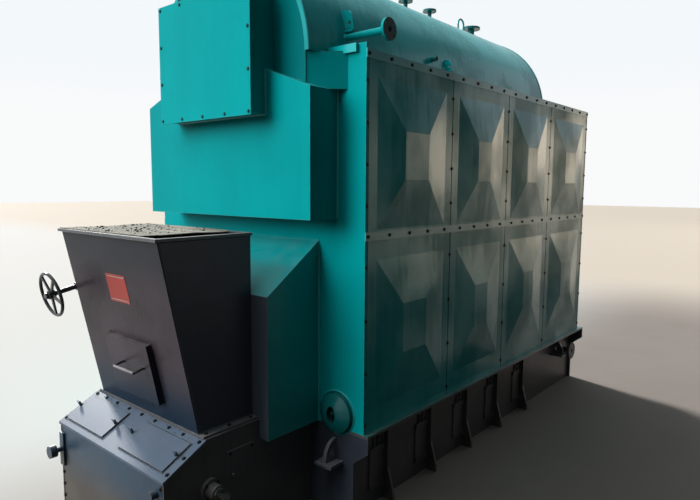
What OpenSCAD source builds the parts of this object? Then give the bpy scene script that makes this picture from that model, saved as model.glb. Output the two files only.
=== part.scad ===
// Packaged chain-grate boiler: coal hopper and grate front, panelled casing, steam drum on top.
// Plant frame used by the modules: X to the right seen from the firing end,
// Y to the back along the drum with 0 on the outer face of the front wall, Z up from the floor.
// The last lines shift it so that the origin is the bottom centre of the whole boiler.

/* [Casing] */
// Width of the panelled casing
casing_w = 1840; // [1700:10:1960]
// Height of the panelled casing
casing_h = 2000; // [1800:10:2300]
// Width of the first and the last side panel
end_panel_w = 820; // [740:5:900]
// Width of each middle side panel
mid_panel_w = 762; // [700:2:860]
// Number of middle side panels
mid_panels = 2; // [1:1:3]
// Width of a corner post seen from the side
post_w = 20; // [16:2:40]
// Height of the seam between the lower and the upper panels, above the casing's foot
seam_z = 1060; // [960:5:1160]
// Thickness of the front and rear walls
wall_t = 14; // [8:1:25]
// Thickness of the roof plates
roof_t = 12; // [6:1:20]
// How far the roof plates run in under the drum's cladding
roof_lap = 40; // [20:1:60]
// How far the front wall stands above the roof beside the drum
wall_rise = 30; // [10:1:60]
// Depth of the ledge along the top of the front wall
ledge_d = 18; // [8:1:30]
// Height of the ledge along the top of the front wall
ledge_h = 42; // [24:1:60]

/* [Side panels] */
// Thickness of a pressed panel
panel_t = 8; // [4:1:12]
// Gap between neighbouring panels
panel_gap = 8; // [4:1:14]
// Flat margin beside the pressed pyramid
press_margin = 72; // [50:2:110]
// Flat margin above the pressed pyramid
press_top = 125; // [80:5:180]
// Flat margin below the pressed pyramid
press_foot = 30; // [20:2:90]
// Width of the sloping faces of the pyramid
press_run_w = 218; // [150:2:240]
// Height of the sloping faces of the pyramid
press_run_h = 262; // [180:2:300]
// How far the pyramid's flat top stands out
press_rise = 26; // [10:1:40]
// Height of the flat cover strips
strip_h = 44; // [30:2:60]
// Thickness of the flat cover strips
strip_t = 4; // [3:1:8]

/* [Base] */
// Height of the base under the casing
base_h = 500; // [400:10:650]
// How far the sill rails stand out beside the casing
sill_over = 30; // [15:1:60]
// Thickness of the sill rails
sill_t = 15; // [10:1:25]
// How far the base's side plates stand in from the casing's sides
base_inset = 94; // [80:1:110]
// Thickness of the base's plates
base_t = 14; // [8:1:25]
// How far the base runs out behind the rear wall
base_tail = 64; // [30:2:150]
// Distance between the ribs on the base's side
rib_pitch = 462; // [380:2:520]
// Number of ribs on each side
rib_count = 5; // [2:1:5]
// Distance from the front wall to the first rib
rib_start = 306; // [200:2:400]
// How far a rib stands out from the side plate
rib_out = 36; // [24:1:50]
// How much further the foot of a rib stands out
rib_flare = 42; // [10:1:44]
// Height of a rib's upright foot
rib_foot_h = 40; // [20:1:80]
// Height at which a rib's flare ends
rib_flare_h = 190; // [120:1:300]
// Thickness of a rib
rib_t = 16; // [10:1:24]

/* [Ash doors] */
// Width of an ash door
ash_w = 118; // [90:1:130]
// Height of an ash door
ash_h = 196; // [150:1:210]
// Height of an ash door's lower edge
ash_z = 118; // [60:1:130]
// Thickness of an ash door
ash_t = 8; // [5:1:12]
// Distance from an ash door to its rib
ash_gap = 14; // [12:1:24]
// Height of an ash door's straps
strap_band = 26; // [16:1:30]
// Height of the middle of an ash door's handle
ash_handle_z = 376; // [360:1:390]
// Middle radius of the curls of an ash door's handle
curl_r = 23; // [18:0.5:26]

/* [Drum] */
// Outside radius of the drum's cladding
drum_r = 673; // [600:1:720]
// Thickness of the drum's cladding
drum_t = 25; // [15:1:40]
// Height of the drum's axis below the casing's top
drum_drop = 17; // [10:1:60]
// How far the cladding runs out in front of the front wall
drum_hood = 161; // [80:1:200]
// Distance from the front wall to the rear end of the cladding
drum_end = 2792; // [2500:4:3000]
// Thickness of the drum's end plates
head_t = 14; // [8:1:25]

/* [Nozzles] */
// Outside radius of the main steam flange
steam_flange_r = 82.5; // [70:0.5:100]
// Pitch circle diameter of the main steam flange
steam_pcd = 125; // [110:1:150]
// Outside radius of the main steam pipe
steam_pipe_r = 30; // [28:0.5:36]
// Bore radius of the main steam pipe
steam_bore_r = 25; // [18:0.5:26]
// Outside radius of the small flanges
small_flange_r = 57.5; // [50:0.5:70]
// Pitch circle diameter of the small flanges
small_pcd = 85; // [76:1:100]
// Outside radius of the small pipes
small_pipe_r = 17; // [16:0.5:22]
// Bore radius of the small pipes
small_bore_r = 13; // [9:0.5:14]
// Outside radius of the drain flange
drain_flange_r = 75; // [60:0.5:90]
// Pitch circle diameter of the drain flange
drain_pcd = 110; // [96:1:130]
// Outside radius of the drain pipe
drain_pipe_r = 24; // [22:0.5:28]
// Bore radius of the drain pipe
drain_bore_r = 19; // [14:0.5:20]
// Height of the nozzle faces above the drum's crown
nozzle_h = 132; // [90:2:200]
// Distance from the front wall to the main steam nozzle
steam_y = 2677; // [2500:1:2690]
// Distance from the front wall to the second small nozzle
safety_rear_y = 1970; // [1800:5:2200]
// Distance from the front wall to the first small nozzle
safety_front_y = 1622; // [1400:5:1750]
// Distance from the front wall to the feed pipe
feed_y = 150; // [120:2:300]
// Distance from the front wall to the socket on the drum's side
socket_y = 990; // [900:5:1080]
// Height of the socket above the casing's top
socket_up = 141; // [110:1:200]
// Outside radius of the socket
socket_r = 17.5; // [14:0.5:24]
// Distance from the front wall to the plug on the crown
plug_y = 2236; // [2100:2:2400]
// Distance from the base's rear end to the drain pipe
drain_back = 258; // [200:1:300]
// Height of the drain pipe's axis
drain_z = 325; // [250:1:370]
// Height of the feed pipe above the casing's top
feed_up = 115; // [95:1:200]
// Outside radius of the feed pipe
feed_r = 19; // [14:0.5:24]

/* [Drum lugs] */
// Distance from the front wall to the front lifting eye
eye_front_y = 380; // [320:2:500]
// Distance from the front wall to the rear lifting eye
eye_rear_y = 2490; // [2300:2:2560]
// Width of a lifting eye between the middles of its bars
eye_w = 96; // [80:1:120]
// Height of a lifting eye
eye_h = 168; // [130:1:190]
// Radius of a lifting eye's bar
eye_bar_r = 8; // [6:0.5:12]
// Distance from the front wall to the large lugs on the drum's sides
large_lug_y = 165; // [150:1:300]
// Height of the large lugs' foot above the casing's top
large_lug_up = 152; // [150:1:200]
// Height of a large lug
large_lug_h = 112; // [90:1:130]
// Distance from the front wall to the small lugs on the drum's sides
small_lug_y = 1185; // [1100:1:1400]
// Height of the small lugs' foot above the casing's top
small_lug_up = 96; // [70:1:140]
// Height of a small lug
small_lug_h = 72; // [60:1:90]
// Thickness of the lugs on the drum's sides
side_lug_t = 12; // [8:1:16]

/* [Smoke boxes] */
// Width of the shouldered smoke box
smoke_w = 1460; // [1300:10:1560]
// Depth of the shouldered smoke box
smoke_d = 207; // [150:1:260]
// Height of its upright sides
smoke_side_h = 666; // [600:2:680]
// Distance from the casing's top down to the outer edge of its shoulders
smoke_drop = 188; // [150:2:240]
// Rise of its shoulders up to the upper box
smoke_rise = 117; // [60:1:140]
// Width of the upper box
upper_w = 806; // [700:2:900]
// Depth of the upper box without its lid
upper_d = 308; // [260:2:360]
// Distance from the casing's top down to the upper box's lower edge
upper_drop = 304; // [260:2:340]
// Height of the upper box
upper_h = 652; // [600:2:700]
// How far the bolted lid stands out beside the upper box
lid_rim = 12; // [6:1:20]
// Thickness of the bolted lid
lid_t = 12; // [6:1:20]

/* [Furnace arch box] */
// How far the arch box stands in from the casing's sides
arch_inset = 325; // [320:5:370]
// Depth of the arch box
arch_d = 380; // [340:2:420]
// Distance from its sloping top's upper edge up to the smoke box
arch_gap = 123; // [80:1:240]
// Fall of its sloping top to the front
arch_fall = 265; // [180:1:320]

/* [Coal hopper] */
// Width of the hopper
hopper_w = 942; // [860:2:1000]
// Distance from the front wall to the front foot of the hopper
hopper_foot = 719; // [690:1:740]
// Height of the hopper
hopper_h = 952; // [880:2:990]
// Lean of the front plate
hopper_lean = 11.63; // [8:0.01:14]
// Thickness of the hopper's plates
hopper_t = 10; // [6:1:16]
// Height of the flange frame under the hopper
hopper_flange_t = 12; // [8:1:16]
// Height of the frame around the hopper's mouth
hopper_rim_t = 14; // [8:1:20]
// Width of the frame around the hopper's mouth
hopper_rim_w = 16; // [8:1:30]
// Width of the flange frame outside the hopper
hopper_flange_w = 44; // [30:1:50]
// Thickness of the sheet that covers the hopper
cover_t = 4; // [3:0.5:8]
// How far the cover sheet stops short on the right
cover_short = 92; // [40:1:200]

/* [Hopper door] */
// Width of the door
door_w = 407; // [320:1:440]
// Height of the door, along the leaning plate
door_h = 327; // [260:1:360]
// Distance from the hopper's middle to the door's hinge side
door_left = 195; // [170:1:210]
// Distance along the plate from the hopper's foot to the door
door_up = 100; // [60:1:160]
// Depth of the door's folded rim
door_d = 25; // [15:1:40]
// Thickness of the door's sheet
door_t = 6; // [4:0.5:10]
// Length of the door's handle bar
grip_w = 193; // [140:1:240]
// Distance from the door's upper edge down to its handle
grip_drop = 129; // [100:1:200]
// How far the handle stands right of the door's middle
grip_shift = 45.5; // [0:0.5:60]
// How far the handle stands out of the door
grip_out = 62; // [40:1:80]
// Gap behind the closed door
door_gap = 5; // [5:0.5:8]
// Distance from the door's edge to its hinge pin
hinge_out = 16; // [16:1:22]
// Radius of the hinge pin
hinge_pin_r = 5; // [3:0.5:6]
// Running clearance on pins, spindle and shaft
run_clear = 0.05; // [0.02:0.01:0.1]

/* [Gate handwheel] */
// Radius of the wheel to the middle of its rim
wheel_r = 121; // [90:1:150]
// Radius of the rim's round section
wheel_rim_r = 9; // [6:0.5:12]
// Number of spokes
wheel_spokes = 5; // [3:1:6]
// Distance from the hopper's side to the spindle
wheel_side = 59; // [49:1:89]
// Distance of the wheel in front of the leaning plate
wheel_out = 118; // [90:1:160]
// Distance along the leaning plate from its foot to the wheel
wheel_up = 635; // [560:1:700]
// Radius of the spindle
spindle_r = 14; // [10:0.5:18]
// Length of the spindle behind the wheel
spindle_l = 400; // [360:2:440]
// Length of the spindle inside the gate's gearbox
gear_overlap = 60; // [40:1:80]

/* [Grate housing] */
// How far the grate housing stands out beside the hopper
housing_margin = 55; // [50:1:60]
// Distance from the front wall to the housing's front face
grate_front = 949; // [900:1:1000]
// Height of the housing's front face
grate_front_h = 485; // [420:1:520]
// Height of the housing under the hopper
grate_top_h = 603; // [560:1:620]
// Distance from the front wall to the upper edge of the slanted cover
cover_edge = 719; // [700:1:740]
// Thickness of the housing's plates
grate_t = 12; // [8:1:16]
// Radius of the grate shaft
shaft_r = 28; // [20:0.5:32]
// Height of the grate shaft's axis
shaft_z = 350; // [300:1:400]
// Distance from the front wall to the grate shaft
shaft_y = 700; // [660:1:740]
// How far the shaft's end stands out beside the housing
shaft_out = 127; // [100:1:160]
// Radius of the shaft's turned end
shaft_end_r = 25; // [16:0.5:27]
// Length of the shaft's turned end
shaft_end_l = 52; // [30:1:54]
// Distance from the front wall to the front edge of the inspection plate
inspect_y = 592; // [560:1:600]
// Width of the inspection plate on the housing's side
inspect_w = 167; // [120:1:180]
// Height of the inspection plate's lower edge
inspect_z = 354; // [320:1:380]
// Height of the inspection plate
inspect_h = 146; // [100:1:150]
// Width of a hatch plate on the slanted cover
hatch_w = 397; // [340:1:410]
// Length of a hatch plate up the slope
hatch_l = 176; // [150:1:190]
// Distance from the cover's middle to the middle of a hatch plate
hatch_x = 286; // [270:1:300]

/* [Housing front plate] */
// Distance from the housing's side to the middle of the clamp bar
clamp_inset = 26; // [24:1:60]
// Height of the clamp's middle
clamp_z = 330; // [250:1:360]
// Width of the clamp bar
clamp_w = 44; // [30:1:46]
// Height of the clamp bar
clamp_h = 190; // [120:1:220]
// Thickness of the clamp bar
clamp_t = 12; // [8:1:16]
// How far the clamp's knob reaches out of the front plate
knob_reach = 81; // [60:1:100]
// Radius of the knob
knob_r = 34; // [20:1:40]
// Length of the knob
knob_l = 36; // [20:1:40]
// Radius of the knob's stem
knob_stem_r = 14; // [8:1:18]
// Distance from the housing's side to the tension rod's pin
tension_inset = 64; // [40:1:100]
// Height of the tension rod's pin
tension_z = 404; // [340:1:430]
// Radius of the tension rod's pin
tension_r = 20; // [12:1:28]
// How far the tension rod's pin stands out
tension_out = 34; // [20:1:40]

/* [Headers] */
// Outside radius of the bottom headers
header_r = 109.5; // [80:0.5:120]
// Distance from the casing's side to a header's axis
header_inset = 185; // [170:1:215]
// Height of the headers' axis above the casing's foot
header_z = 82; // [60:1:100]
// How far a header's end stands out of the wall
header_out = 26; // [15:1:30]
// Depth of the dished header end
header_dish = 34; // [26:1:36]
// Width of the oval handhole
handhole_w = 60; // [50:1:66]
// Height of the oval handhole
handhole_h = 97; // [80:1:110]
// Width of the collar on the wall around a header
collar_w = 12; // [6:1:20]
// Thickness of the collar
collar_t = 6; // [4:1:10]
// Clearance of a seated piece in its seat
seat_clear = 0.3; // [0.1:0.1:0.5]

/* [Pulling lugs] */
// Height of a lug
lug_h = 122; // [90:1:140]
// How far a lug stands out
lug_out = 92; // [70:1:110]
// Thickness of a lug
lug_t = 20; // [12:1:30]
// Width of the shelf under a lug
lug_shelf_w = 116; // [80:2:140]
// Thickness of the shelf under a lug
lug_shelf_t = 16; // [10:1:20]
// Radius of the eye in a lug
lug_eye_r = 22; // [14:0.5:26]
// Height of the lugs' shelves
lug_z = 315; // [250:1:340]
// Distance of the front lugs from the base's side plates
lug_inset = 106; // [90:1:180]
// Distance from the base's rear end to the rear lugs on its sides
rear_lug_back = 388; // [380:1:500]

/* [Hidden] */
$fn = 48;

teal = [0.0, 0.52, 0.51];
dark_grey = [0.27, 0.28, 0.31];
near_black = [0.09, 0.09, 0.10];
steel_grey = [0.45, 0.47, 0.50];

// Sides of the boiler as signs along X
right = 1;
left = -1;
eps = 1;

// Casing
casing_z = base_h;
casing_top = base_h + casing_h;
casing_l = 2 * post_w + 2 * end_panel_w + mid_panels * mid_panel_w;
panel_count = mid_panels + 2;
skin_x = casing_w / 2 - panel_t;
frame_t = 16;
frame_x = skin_x - frame_t;
frame_bar = 60;
weld_gap = 0.3;

// Side panels: where column i starts and how wide it is
function column_w(i) = (i == 0 || i == panel_count - 1) ? end_panel_w : mid_panel_w;
function column_y(i) = i == 0 ? post_w : column_y(i - 1) + column_w(i - 1);

// Base
side_z = base_h - sill_t;
base_end = casing_l + base_tail;
base_x = casing_w / 2 - base_inset;
sill_x = casing_w / 2 + sill_over;
lug_x = base_x - lug_inset;
rear_lug_y = base_end - rear_lug_back;
drain_y = base_end - drain_back;
base_nose_drop = 98;
base_nose_slope = 79;
base_nose_x = base_x + 24;

// Headers
header_x = casing_w / 2 - header_inset;
header_axis_z = casing_z + header_z;

// Drum
drum_z = casing_top - drum_drop;
drum_crown = drum_z + drum_r;
cladding_foot = casing_top;
feed_z = casing_top + feed_up;
feed_root_x = sqrt(pow(drum_r, 2) - pow(feed_z - drum_z, 2));
roof_inner = drum_r - drum_t - roof_lap;
ledge_corner = 54;
steam_flange_t = 18;
small_flange_t = 16;
feed_wall = 4;
bolt_hole_r = 7;
steam_hole_r = 9;

// Smoke boxes, and the arch box below them
upper_foot = casing_top - upper_drop;
smoke_foot = casing_top - smoke_drop - smoke_side_h;
arch_top = smoke_foot - arch_gap;

// Hopper: frame of the leaning front plate
hopper_z = grate_top_h + hopper_flange_t;
hopper_back = arch_d;
lean_run = hopper_h * tan(hopper_lean);
hinge_x = -door_left - hinge_out;
hinge_y = -door_gap - 9;
knuckle_r = 9;
ear_t = 12;
knuckle_l = 200;
knuckle_z = door_up + (door_h - knuckle_l) / 2;
ear_gap = 1;

// Grate housing and gate wheel
grate_w = hopper_w + 2 * housing_margin;
clamp_x = clamp_inset - grate_w / 2;
tension_x = grate_w / 2 - tension_inset;
boss_wall = 10;
shaft_boss_r = shaft_r + boss_wall;
boss_gap = 3;
shaft_boss_l = shaft_out - shaft_end_l - boss_gap;
bearing_flange_w = 27;
bearing_plate_r = shaft_r + bearing_flange_w;
bearing_plate_t = 22;
wheel_x = hopper_w / 2 + wheel_side;
cover_slope = atan2(grate_top_h - grate_front_h, grate_front - cover_edge);
cover_drop = grate_t / cos(cover_slope);
plant_front = grate_front + knob_reach;

// Origin at the middle of the whole length
origin_y = (base_end - plant_front) / 2;
module in_plant() translate([0, -origin_y, 0]) children();

// A module drawn for the right side, put on either side
module on_side(side) {
    if (side > 0) children();
    else mirror([1, 0, 0]) children();
}

// Frame on the hopper's leaning front plate: x right, -y out of the plate, z up along it
module on_hopper_front() translate([0, -hopper_foot, hopper_z]) rotate([hopper_lean, 0, 0]) children();

// Frame on the slanted cover: x right, y up the slope from the front edge, z out of the cover
module on_slanted_cover() translate([0, -grate_front, grate_front_h]) rotate([cover_slope, 0, 0]) children();

// A profile drawn as [y, z] points, made w wide along X about the middle plane
module across(w) translate([-w / 2, 0, 0]) rotate([90, 0, 90]) linear_extrude(w) children();

// Round flange on the z = 0 plane facing +Z, with its bolt holes and its bore
module flange(r, t, pcd, hole_r, count, bore_r) {
    difference() {
        cylinder(h = t, r = r);
        translate([0, 0, -eps]) cylinder(h = t + 2 * eps, r = bore_r);
        for (i = [0 : count - 1])
            rotate([0, 0, (i + 0.5) * 360 / count])
                translate([pcd / 2, 0, -eps]) cylinder(h = t + 2 * eps, r = hole_r);
    }
}

// Pipe stub from z = -length up to the flange's face at z = 0
module flanged_stub(length, pipe_r, bore_r, flange_r, flange_t, pcd, hole_r, count) {
    translate([0, 0, -flange_t]) flange(flange_r, flange_t, pcd, hole_r, count, bore_r);
    difference() {
        translate([0, 0, -length]) cylinder(h = length - flange_t / 2, r = pipe_r);
        translate([0, 0, -length - eps]) cylinder(h = length + 2 * eps, r = bore_r);
    }
}

// Upright plate in the XZ plane from a list of [x, z] points, outer face at y
module upright(y, t) translate([0, y + t, 0]) rotate([90, 0, 0]) linear_extrude(t) children();

// Base: a rib standing on the side plate, with its flared foot
module rib_profile() {
    root = base_x + weld_gap;
    foot = base_x + rib_out + rib_flare;
    polygon([[root, 0], [foot, 0], [foot, rib_foot_h], [base_x + rib_out, rib_flare_h],
        [base_x + rib_out, side_z], [root, side_z]]);
}

module base_side(side) color(near_black) on_side(side) {
    translate([base_x - base_t, base_t, 0]) cube([base_t, base_end - 2 * base_t, side_z]);
    for (i = [0 : rib_count - 1]) upright(rib_start + i * rib_pitch - rib_t / 2, rib_t) rib_profile();
}
module base_side_right() base_side(right);
module base_side_left() base_side(left);

// Outline of an end plate of the base; between the rails it reaches up to the casing over raised_x
module base_end_outline(raised_x) {
    foot_top = base_h - base_nose_drop - base_nose_slope;
    polygon([[-base_nose_x, 0], [base_nose_x, 0], [base_nose_x, foot_top],
        [sill_x, base_h - base_nose_drop], [sill_x, side_z], [-sill_x, side_z],
        [-sill_x, base_h - base_nose_drop], [-base_nose_x, foot_top]]);
    if (raised_x > 0)
        translate([-raised_x, side_z - eps]) square([2 * raised_x, sill_t + eps]);
}

// Round holes for the two headers, from y0 to y1 behind the front wall's face
module header_holes(y0, y1)
    for (s = [right, left])
        translate([s * header_x, y0 - eps, header_axis_z]) rotate([-90, 0, 0])
            cylinder(h = y1 - y0 + 2 * eps, r = header_r + seat_clear);

module base_front_plate() color(near_black)
    difference() {
        upright(0, base_t) base_end_outline(base_x - base_t);
        header_holes(0, base_t);
    }

module base_rear_plate() color(near_black) upright(base_end - base_t, base_t) base_end_outline(0);

// Rails along both sides and the deck between them behind the rear wall
module sill_rails() color(near_black) {
    rail_x = base_x - base_t;
    deck_w = 2 * (rail_x - weld_gap);
    for (s = [right, left]) on_side(s)
        translate([rail_x, 0, side_z]) cube([sill_x - rail_x, base_end, sill_t]);
    difference() {
        translate([-deck_w / 2, casing_l, side_z]) cube([deck_w, base_end - casing_l, sill_t]);
        header_holes(casing_l, base_end);
    }
}

// Narrow ash door in front of a rib: strap hinges with their knuckles, and a cast handle of two curls
module ash_door() {
    strap_t = ash_t + 6;
    knuckle = 9;
    curl_w = 9;
    curl_t = 12;
    translate([base_x, -ash_gap - ash_w, ash_z]) cube([ash_t, ash_w, ash_h]);
    for (z = [ash_z - strap_band, ash_z + ash_h]) {
        translate([base_x, -ash_gap - ash_w, z]) cube([strap_t, ash_w, strap_band]);
        translate([base_x + knuckle + weld_gap, -ash_gap, z - 4]) cylinder(h = strap_band + 8, r = knuckle);
    }
    for (k = [-1, 1])
        translate([base_x, -ash_gap - ash_w / 2, ash_handle_z + k * curl_r]) rotate([0, 90, 0])
            rotate([0, 0, k * 90 - 65]) rotate_extrude(angle = 310)
                translate([curl_r - curl_w / 2, 0]) square([curl_w, curl_t]);
}

module ash_doors() color(near_black)
    for (s = [right, left]) on_side(s)
        for (i = [0 : rib_count - 1])
            translate([0, rib_start + i * rib_pitch - rib_t / 2, 0]) ash_door();

// Quarter-round lug with its eye on a small shelf: it stands out to -y, and its back edge and its
// shelf run in by root where what carries it is round
module shelf_lug(h, out, t, eye_r, shelf_w, shelf_t, root) {
    over = shelf_t * 0.75;
    translate([-t / 2, 0, 0]) rotate([90, 0, 90]) linear_extrude(t) difference() {
        union() {
            intersection() {
                scale([out / h, 1]) circle(r = h);
                translate([-h, 0]) square(h);
            }
            if (root > 0) translate([-eps, 0]) square([root + eps, h]);
        }
        translate([-out * 0.42, h * 0.38]) circle(r = eye_r);
    }
    translate([-shelf_w / 2, -out - over, -shelf_t]) cube([shelf_w, out + over + root, shelf_t]);
}

module tow_lug() shelf_lug(lug_h, lug_out, lug_t, lug_eye_r, lug_shelf_w, lug_shelf_t, 0);

module tow_lugs() color(dark_grey)
    for (s = [right, left]) on_side(s) {
        translate([lug_x, 0, lug_z]) tow_lug();
        translate([base_x, rear_lug_y, lug_z]) rotate([0, 0, 90]) tow_lug();
    }

// Drain pipe out of the right side plate near its rear end
module drain_pipe() color(near_black)
    translate([sill_x, drain_y, drain_z]) rotate([0, 90, 0])
        flanged_stub(sill_x - base_x, drain_pipe_r, drain_bore_r, drain_flange_r, small_flange_t,
            drain_pcd, steam_hole_r, 4);

// Grate housing: outline seen from the side, drawn back by inset on the front face
module housing_outline(inset) polygon([[-grate_front + inset, 0],
    [-grate_front + inset, grate_front_h - cover_drop + inset * tan(cover_slope)],
    [-cover_edge, grate_top_h - cover_drop], [-cover_edge, grate_top_h],
    [-arch_d, grate_top_h], [-arch_d, casing_z], [0, casing_z], [0, 0]]);

module shaft_passage() translate([0, -shaft_y, shaft_z]) rotate([0, 90, 0])
    cylinder(h = 2 * grate_w, r = shaft_r + 5, center = true);

module grate_housing() color(near_black) difference() {
    across(grate_w - 2 * grate_t) housing_outline(grate_t);
    shaft_passage();
}

// Side plates, each with its inspection plate and the knob that turns the plate's catch
inspect_t = 8;
catch_in = 29;
catch_up = 18;
catch_l = 14;
module housing_side_plates() color(near_black)
    for (s = [right, left]) on_side(s) {
        difference() {
            translate([grate_w / 2 - grate_t, 0, 0]) rotate([90, 0, 90])
                linear_extrude(grate_t) housing_outline(0);
            shaft_passage();
        }
        translate([grate_w / 2, -inspect_y, inspect_z]) {
            cube([inspect_t, inspect_w, inspect_h]);
            translate([inspect_t - eps, catch_in, catch_up]) rotate([0, 90, 0])
                cylinder(h = catch_l + eps, r = catch_up / 2);
        }
    }

// Front plate with the clamp bar that its knob holds, and the pin of the grate's tension rod
module housing_front_plate() color(dark_grey) translate([0, -grate_front, 0]) {
    translate([-grate_w / 2 + grate_t, 0, 0])
        cube([grate_w - 2 * grate_t, grate_t, grate_front_h - cover_drop]);
    translate([clamp_x - clamp_w / 2, -clamp_t - weld_gap, clamp_z - clamp_h / 2])
        cube([clamp_w, clamp_t, clamp_h]);
    translate([clamp_x, -clamp_t - 2 * weld_gap, clamp_z]) rotate([90, 0, 0]) {
        cylinder(h = knob_reach - clamp_t - 2 * weld_gap, r = knob_stem_r);
        translate([0, 0, knob_reach - clamp_t - 2 * weld_gap - knob_l]) cylinder(h = knob_l, r = knob_r);
    }
    translate([tension_x, -weld_gap, tension_z]) rotate([90, 0, 0]) cylinder(h = tension_out, r = tension_r);
}

module slanted_cover() {
    lip = 6;
    lip_z = grate_front_h - lip * tan(cover_slope);
    color(steel_grey) across(grate_w + 2 * lip) polygon([[-grate_front - lip, lip_z],
        [-grate_front - lip, lip_z - cover_drop], [-cover_edge, grate_top_h - cover_drop],
        [-cover_edge, grate_top_h]]);
}

// Two hatch plates, a little left of the middle, each held by two wing screws
module hatch_plates() {
    hatch_t = 8;
    hatch_up = 32;
    hatch_shift = -9.5;
    screw_r = 8;
    screw_h = 26;
    wing_w = 30;
    wing_h = 20;
    color(steel_grey) on_slanted_cover()
        for (s = [right, left]) translate([hatch_shift + s * hatch_x, hatch_up, 0]) {
            translate([-hatch_w / 2, 0, 0]) cube([hatch_w, hatch_l, hatch_t]);
            for (x = [-hatch_w / 2 - screw_r - hatch_t, hatch_w / 2 - screw_r - hatch_t / 2])
                translate([x, hatch_l * 0.55, 0]) {
                    cylinder(h = screw_h, r = screw_r);
                    translate([-wing_w / 2, -screw_r / 2, screw_h - screw_r])
                        cube([wing_w, screw_r, wing_h]);
                }
        }
}

module shaft_bearings() color(dark_grey)
    for (s = [right, left]) on_side(s)
        translate([grate_w / 2, -shaft_y, shaft_z]) rotate([0, 90, 0]) difference() {
            union() {
                cylinder(h = bearing_plate_t, r = bearing_plate_r);
                cylinder(h = shaft_boss_l, r = shaft_boss_r);
            }
            translate([0, 0, -eps]) cylinder(h = shaft_boss_l + 2 * eps, r = shaft_r + run_clear);
        }

module grate_shaft() {
    half = grate_w / 2 + shaft_out;
    key_w = 14;
    key_l = 40;
    color(steel_grey) translate([0, -shaft_y, shaft_z]) rotate([0, 90, 0]) {
        cylinder(h = 2 * (half - shaft_end_l), r = shaft_r, center = true);
        for (s = [right, left]) mirror([0, 0, s > 0 ? 0 : 1]) difference() {
            translate([0, 0, half - shaft_end_l]) cylinder(h = shaft_end_l, r = shaft_end_r);
            translate([shaft_end_r - 6, -key_w / 2, half - key_l]) cube([10, key_w, key_l + eps]);
        }
    }
}

// Coal hopper
module hopper_front() {
    plate_l = hopper_h / cos(hopper_lean);
    rim = 26;
    over = 2 * hopper_t;
    spare = 10 * hopper_t;
    color(dark_grey) difference() {
        on_hopper_front() difference() {
            translate([-hopper_w / 2, 0, -over]) cube([hopper_w, hopper_t, plate_l + 2 * over]);
            translate([-door_left + rim, -eps, door_up + rim])
                cube([door_w - 2 * rim, hopper_t + 2 * eps, door_h - 2 * rim]);
        }
        for (z = [hopper_z - spare, hopper_z + hopper_h])
            translate([-hopper_w, -2 * hopper_foot, z]) cube([2 * hopper_w, 2 * hopper_foot, spare]);
    }
}

// Side plates and back of the hopper; the front plate lies on their leaning edges
module hopper_shell() {
    run = hopper_t / cos(hopper_lean);
    color(dark_grey) {
        for (s = [right, left]) on_side(s)
            translate([hopper_w / 2 - hopper_t, 0, hopper_z]) rotate([90, 0, 90]) linear_extrude(hopper_t)
                polygon([[-hopper_foot + run, 0], [-hopper_back, 0], [-hopper_back, hopper_h],
                    [-hopper_foot - lean_run + run, hopper_h]]);
        translate([-hopper_w / 2, -hopper_back - hopper_t, hopper_z]) cube([hopper_w, hopper_t, hopper_h]);
    }
}

module hopper_rim() {
    depth = hopper_foot + lean_run - hopper_back;
    color(steel_grey) translate([0, -hopper_back - depth, hopper_z + hopper_h]) difference() {
        translate([-hopper_w / 2 - hopper_rim_w, -hopper_rim_w, 0])
            cube([hopper_w + 2 * hopper_rim_w, depth + hopper_rim_w, hopper_rim_t]);
        translate([-hopper_w / 2 + hopper_t, hopper_t, -eps])
            cube([hopper_w - 2 * hopper_t, depth - 2 * hopper_t, hopper_rim_t + 2 * eps]);
    }
}

module hopper_base_flange() {
    depth = hopper_foot - hopper_back;
    color(steel_grey) translate([0, -hopper_foot, grate_top_h]) difference() {
        translate([-hopper_w / 2 - hopper_flange_w, 0, 0])
            cube([hopper_w + 2 * hopper_flange_w, depth, hopper_flange_t]);
        translate([-hopper_w / 2 + hopper_t, hopper_t + 2, -eps])
            cube([hopper_w - 2 * hopper_t, depth - 2 * hopper_t - 2, hopper_flange_t + 2 * eps]);
    }
}

module hopper_cover() {
    depth = hopper_foot + lean_run - hopper_back;
    front_short = 12;
    corner = 60;
    skew = 90;
    color(steel_grey) translate([0, -hopper_back - depth, hopper_z + hopper_h + hopper_rim_t])
        linear_extrude(cover_t) polygon([[-hopper_w / 2 - 8, -8],
            [hopper_w / 2 - cover_short - corner, front_short],
            [hopper_w / 2 - cover_short, depth - corner],
            [hopper_w / 2 - cover_short - skew, depth - 8], [-hopper_w / 2 - 8, depth - 8]]);
}

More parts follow.
